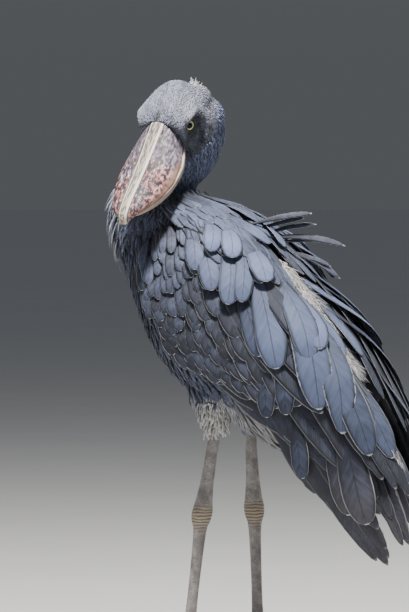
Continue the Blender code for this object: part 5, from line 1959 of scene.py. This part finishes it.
@cache
def horn_effect() -> NodeTree:
    """The group that draws the bill's cream ridge and its slate and pink flanks, streaked and flecked."""
    g = Effect("horn_streaks", Vector=("Place",))
    (place,) = g.given("Place")
    away = g.vectors("SUBTRACT", place, tuple(HEAD_CENTRE))
    forward, left, up = (
        g.vectors("DOT_PRODUCT", away, tuple(way), output="Value")
        for way in (BILL_WAY, HEAD_LEFT, HEAD_UP)
    )
    out = (forward - BILL_FACE) / BILL_LENGTH
    aside = g.math("ABSOLUTE", left)
    streak = g.noise(g.vector(forward * 14.0, left * 120.0, up * 90.0), 1.6, 5.0, 0.62)
    hair = g.noise(g.vector(forward * 20.0, left * 330.0, up * 220.0), 1.0, 3.0, 0.6)
    fleck = g.noise(g.vector(forward * 115.0, left * 190.0, up * 160.0), 1.0, 3.0, 0.65)
    cloud = g.noise(place, 26.0, 3.0, 0.55)
    cream = g.blend(streak, (0.2, 0.16, 0.15), (0.72, 0.63, 0.49))
    violet = g.blend(cloud, (0.085, 0.092, 0.16), (0.27, 0.18, 0.23))
    pale = g.blend(hair, (0.24, 0.23, 0.28), (0.58, 0.52, 0.5))
    red = g.blend(hair, (0.28, 0.085, 0.085), (0.56, 0.29, 0.25))
    warm = g.blend(cloud, (0.4, 0.2, 0.145), (0.58, 0.4, 0.3))
    flank = g.blend(g.ease(streak, 0.46, 0.58), violet, pale)
    colour = g.blend(g.ease(aside, 0.008, 0.017), cream, flank)
    low = g.ease(out, 0.26, 0.52) * g.ease(aside, 0.006, 0.016)
    colour = g.blend(low * g.ease(cloud, 0.36, 0.5), colour, red)
    bright = g.ease(fleck, 0.42, 0.37) * (0.1 + low * 0.5)
    colour = g.blend(bright, colour, (0.8, 0.75, 0.7))
    edge = g.ease(up, -0.008, -0.02) * g.ease(out, 0.1, 0.34)
    colour = g.blend(edge * 0.8, colour, warm)
    share = (0.66 + low * 0.3) * (1.0 - edge * 0.7)
    flecked = g.ease(fleck, 0.485, 0.535) * share * g.ease(aside, 0.004, 0.01)
    colour = g.blend(flecked, colour, (0.02, 0.018, 0.03))
    lined = g.ease(hair, 0.48, 0.54) * g.ease(aside, 0.046, 0.018)
    colour = g.blend(lined * 0.85, colour, (0.055, 0.048, 0.055))
    return g.give(
        Colour=colour, Roughness=0.5 + streak * 0.22, Height=hair * 0.6 + streak * 0.6 + fleck * 0.35,
        Streak=streak, Hair=hair, Forward=forward, Aside=aside, Out=out,
    )


def bill_finish(name: str, upper: bool) -> Material:
    """Horn of one half of the bill, with pale keel lines and nostrils on the upper one."""
    g = Finish(name)
    horn = g.place(horn_effect(), Place=g.own())
    colour, aside = horn["Colour"], horn["Aside"]
    if upper:
        keel = KEEL_HALF - horn["Out"] * KEEL_NARROWS
        beside = g.math("ABSOLUTE", aside - keel)
        ridge = g.ease(beside, 0.0024, 0.0009) * g.ease(horn["Hair"], 0.2, 0.42)
        colour = g.blend(ridge * 0.85, colour, (0.86, 0.82, 0.72))
        groove = g.math("ABSOLUTE", aside - keel * 1.38)
        colour = g.blend(g.ease(groove, 0.0013, 0.0004) * 0.7, colour, (0.06, 0.05, 0.06))
        # Near-black in the nostril slits: painted shade inside the openings.
        slit_out = g.math("POWER", (horn["Forward"] - (BILL_FACE + NOSTRIL_OUT)) / 0.006, 2.0)
        slit_side = g.math("POWER", (aside - NOSTRIL_ASIDE) / 0.0013, 2.0)
        colour = g.blend(g.ease(slit_out + slit_side, 1.6, 0.6), colour, (0.012, 0.01, 0.012))
    else:
        tan = g.blend(horn["Streak"], (0.3, 0.25, 0.2), (0.72, 0.62, 0.47))
        colour = g.blend(0.7, colour, tan)
    g.bump(horn["Height"], 0.45, 0.0007)
    return g.done(Base_Color=colour, Roughness=horn["Roughness"], Specular_IOR_Level=0.34)


def leg_finish() -> Material:
    """Grey scaled skin, ochre in the folds of the hock and darker on the feet."""
    g = Finish("leg_scales")
    own = g.own()
    x, y, z = g.parts("SeparateXYZ", own)
    between = g.node(
        "TexVoronoi", g.vector(x, y, z * 1.25), output="Distance", feature="DISTANCE_TO_EDGE", Scale=560.0
    )
    joint = g.ease(between, 0.0, 0.14)
    patch = g.noise(own, 55.0, 4.0, 0.6)
    fine = g.noise(own, 420.0, 3.0)
    plate = g.blend(g.ease(patch, 0.3, 0.7), (0.17, 0.155, 0.15), (0.52, 0.48, 0.46))
    plate = g.blend(fine * 0.35, plate, (0.6, 0.56, 0.53))
    colour = g.blend(joint, (0.105, 0.092, 0.088), plate)
    band = g.ease(z, 0.208, 0.236) * g.ease(z, 0.272, 0.252)
    wave = g.math("SINE", z * FOLD_WAVES + patch * 9.0)
    fold = g.blend(g.ease(wave, -0.75, 0.25), (0.075, 0.05, 0.032), (0.46, 0.37, 0.25))
    colour = g.blend(band * 0.72, colour, fold)
    foot_colour = g.blend(joint, (0.035, 0.032, 0.033), (0.19, 0.175, 0.17))
    colour = g.blend(g.ease(z, 0.06, 0.025) * 0.5, colour, foot_colour)
    g.bump(joint + fine * 0.25, 0.55, 0.0008)
    return g.done(Base_Color=colour, Roughness=0.5 + patch * 0.2, Specular_IOR_Level=0.35)


def claw_finish() -> Material:
    """Dark horn with a fine grain."""
    g = Finish("claw_horn_dark")
    grain = g.noise(g.own(), 300.0, 3.0)
    colour = g.blend(grain, (0.02, 0.018, 0.018), (0.09, 0.08, 0.075))
    g.bump(grain, 0.25, 0.0003)
    return g.done(Base_Color=colour, Roughness=0.26 + grain * 0.2)


@dataclass
class Studio:
    """The pale floor, the soft lights and the camera at the photograph's angle."""

    aim: Triple = (0.0, 0.0, 0.6192)
    aside: float = -0.0513
    distance: float = 8.0
    elevation: float = 2.0
    span: float = 1.1016
    sensor: float = 24.0
    floor_radius: float = 60.0
    # The point that the lamps are turned to.
    breast: Triple = (0.0, 0.0, 0.65)

    def floor(self) -> None:
        """A wide round pale floor."""
        deselect()
        bpy.ops.mesh.primitive_circle_add(vertices=96, radius=self.floor_radius, fill_type="NGON")
        plane = bpy.context.object
        plane.name = "floor"
        g = Finish("floor_paint")
        grain = g.noise(g.own(), 3.0, 3.0)
        colour = g.blend(grain, (0.5, 0.5, 0.49), (0.56, 0.56, 0.55))
        plane.data.materials.append(g.done(Base_Color=colour, Roughness=0.75))

    def light(
        self, name: str, place: Sequence[float], size: float, power: float, colour: tuple[float, ...]
    ) -> None:
        """One square lamp that points at the bird's breast."""
        lamp = bpy.data.lights.new(name, "AREA")
        lamp.size, lamp.energy, lamp.color = size, power, colour
        obj = bpy.data.objects.new(name, lamp)
        obj.location = place
        way = Vector(self.breast) - Vector(place)
        obj.rotation_euler = way.to_track_quat("-Z", "Y").to_euler()
        bpy.context.scene.collection.objects.link(obj)

    def lights(self) -> None:
        """A high key, a broad fill and a soft rim, with a pale surround."""
        key = TOWARDS_VIEW * 0.95 - VIEW_RIGHT * 0.15 + UPWARD * 3.9
        fill = TOWARDS_VIEW * 3.4 - VIEW_RIGHT * 1.4 + UPWARD * 1.2
        rim = -TOWARDS_VIEW * 1.6 + VIEW_RIGHT * 1.8 + UPWARD * 2.6
        self.light("key", key, 0.5, 400.0, (1.0, 0.975, 0.94))
        self.light("fill", fill, 2.4, 9.0, (0.9, 0.95, 1.0))
        self.light("rim", rim, 1.4, 22.0, (0.93, 0.96, 1.0))
        world = bpy.data.worlds.new("surround")
        world.use_nodes = True
        g = Graph(world.node_tree)
        height = g.node("SeparateXYZ", g.node("TexCoord", output="Generated"), output="Z")
        sky = g.add("ValToRGB", height)
        shades = ((0.02, (0.088, 0.093, 0.1, 1.0)), (0.6, (0.15, 0.16, 0.18, 1.0)))
        for stop, (position, colour) in zip(sky.color_ramp.elements, shades):
            stop.position, stop.color = position, colour
        g.plug(world.node_tree.nodes["Background"].inputs["Color"], Signal(g, sky.outputs["Color"]))
        bpy.context.scene.world = world

    def camera(self) -> None:
        """The camera that the bird is seen from in the photograph."""
        turn = math.radians(self.elevation)
        towards = TOWARDS_VIEW * math.cos(turn) + UPWARD * math.sin(turn)
        middle = np.array(self.aim) + STANCE + VIEW_RIGHT * self.aside
        lens = bpy.data.cameras.new("camera")
        lens.sensor_fit = "VERTICAL"
        lens.sensor_height = self.sensor
        lens.lens = self.sensor * self.distance / self.span
        camera = bpy.data.objects.new("camera", lens)
        camera.location = middle + towards * self.distance
        camera.rotation_euler = Vector(-towards).to_track_quat("-Z", "Y").to_euler()
        bpy.context.scene.collection.objects.link(camera)
        bpy.context.scene.camera = camera


def dress_feathers(skin: Skin, thigh: Thigh, eyes: Eyes, sheet: WingSheet) -> None:
    """Grows the coat and lays the wings, tail and loose feathers."""
    body_finish = FeatherFinish("body_feather", barbs=520.0, rim_width=0.2, rim=(0.34, 0.36, 0.42)).make()
    head_finish = FeatherFinish(
        "head_feather", light=(0.33, 0.35, 0.45), rim=(0.48, 0.5, 0.56), barbs=900.0, shaft=0.0,
        roughness=0.77, bump=0.2,
    ).make()
    wing_finish = FeatherFinish("wing_feather").make()
    down_finish = FeatherFinish("white_down", barbs=1400.0, shaft=0.0, roughness=0.67, bump=0.2).make()
    coat = Coat(skin, skin.trunk, thigh, eyes, sheet)
    finish_piece(coat.head(), head_finish)
    finish_piece(coat.neck(), body_finish)
    finish_piece(coat.body(), body_finish)
    finish_piece(coat.thighs(), head_finish)
    for name, side, spread in (("left", 1, 1.0), ("right", -1, 0.96)):
        wing = WingPlumage(name + "_wing_plumage", side, sheet, skin, spread)
        finish_piece(wing.build(), wing_finish, [name + "_wing"])
    finish_piece(Tail(skin).build(), wing_finish, ["tail"])
    loose = LoosePlumes(skin, sheet, thigh)
    finish_piece(loose.crest(), down_finish)
    finish_piece(loose.ridge_down(), down_finish)
    finish_piece(loose.thigh_tufts(), down_finish)
    finish_piece(loose.throat(), body_finish)
    finish_piece(loose.windblown(), wing_finish)


def build_bird() -> None:
    """Builds and dresses every piece of the bird."""
    eyes, sheet, thigh = Eyes(), WingSheet(), Thigh()
    skin = Skin(Trunk(), Skull(), sheet, thigh, eyes)
    skin.build()
    lids = [eyes.lids(side) for side in (1, -1)]
    pick(skin.piece, *lids)
    bpy.ops.object.join()
    finish_piece(
        skin.piece, skin_finish(eyes),
        ["torso", "neck", "head", "left_thigh", "right_thigh"],
    )
    for name, side in SIDES:
        iris = eye_finish(name + "_iris", eyes.centre(side), eyes.way(side))
        finish_piece(eyes.ball(name + "_eyeball", side), iris, [name + "_eye"])
    bill = Bill()
    finish_piece(bill.upper_half(), bill_finish("upper_horn", True), ["upper_bill"])
    finish_piece(bill.lower_half(), bill_finish("lower_horn", False), ["lower_bill"])
    legs, scales, horn = Legs(), leg_finish(), claw_finish()
    for name, side in SIDES:
        nodes = [f"{name}_{part}" for part in ("shank", "tarsus", "foot")]
        finish_piece(legs.leg(name + "_leg", side), scales, nodes)
        nodes = [f"{name}_{toe}_claw" for toe in ("inner", "middle", "outer", "hind")]
        finish_piece(legs.claws(name + "_claws", side), horn, nodes)
    dress_feathers(skin, thigh, eyes, sheet)


def main() -> None:
    """Loads the frame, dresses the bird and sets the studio."""
    logging.basicConfig(level=logging.INFO, format="%(name)s: %(message)s")
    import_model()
    build_bird()
    studio = Studio()
    studio.floor()
    studio.lights()
    studio.camera()
    bpy.context.view_layer.update()


if __name__ == "__main__":
    main()
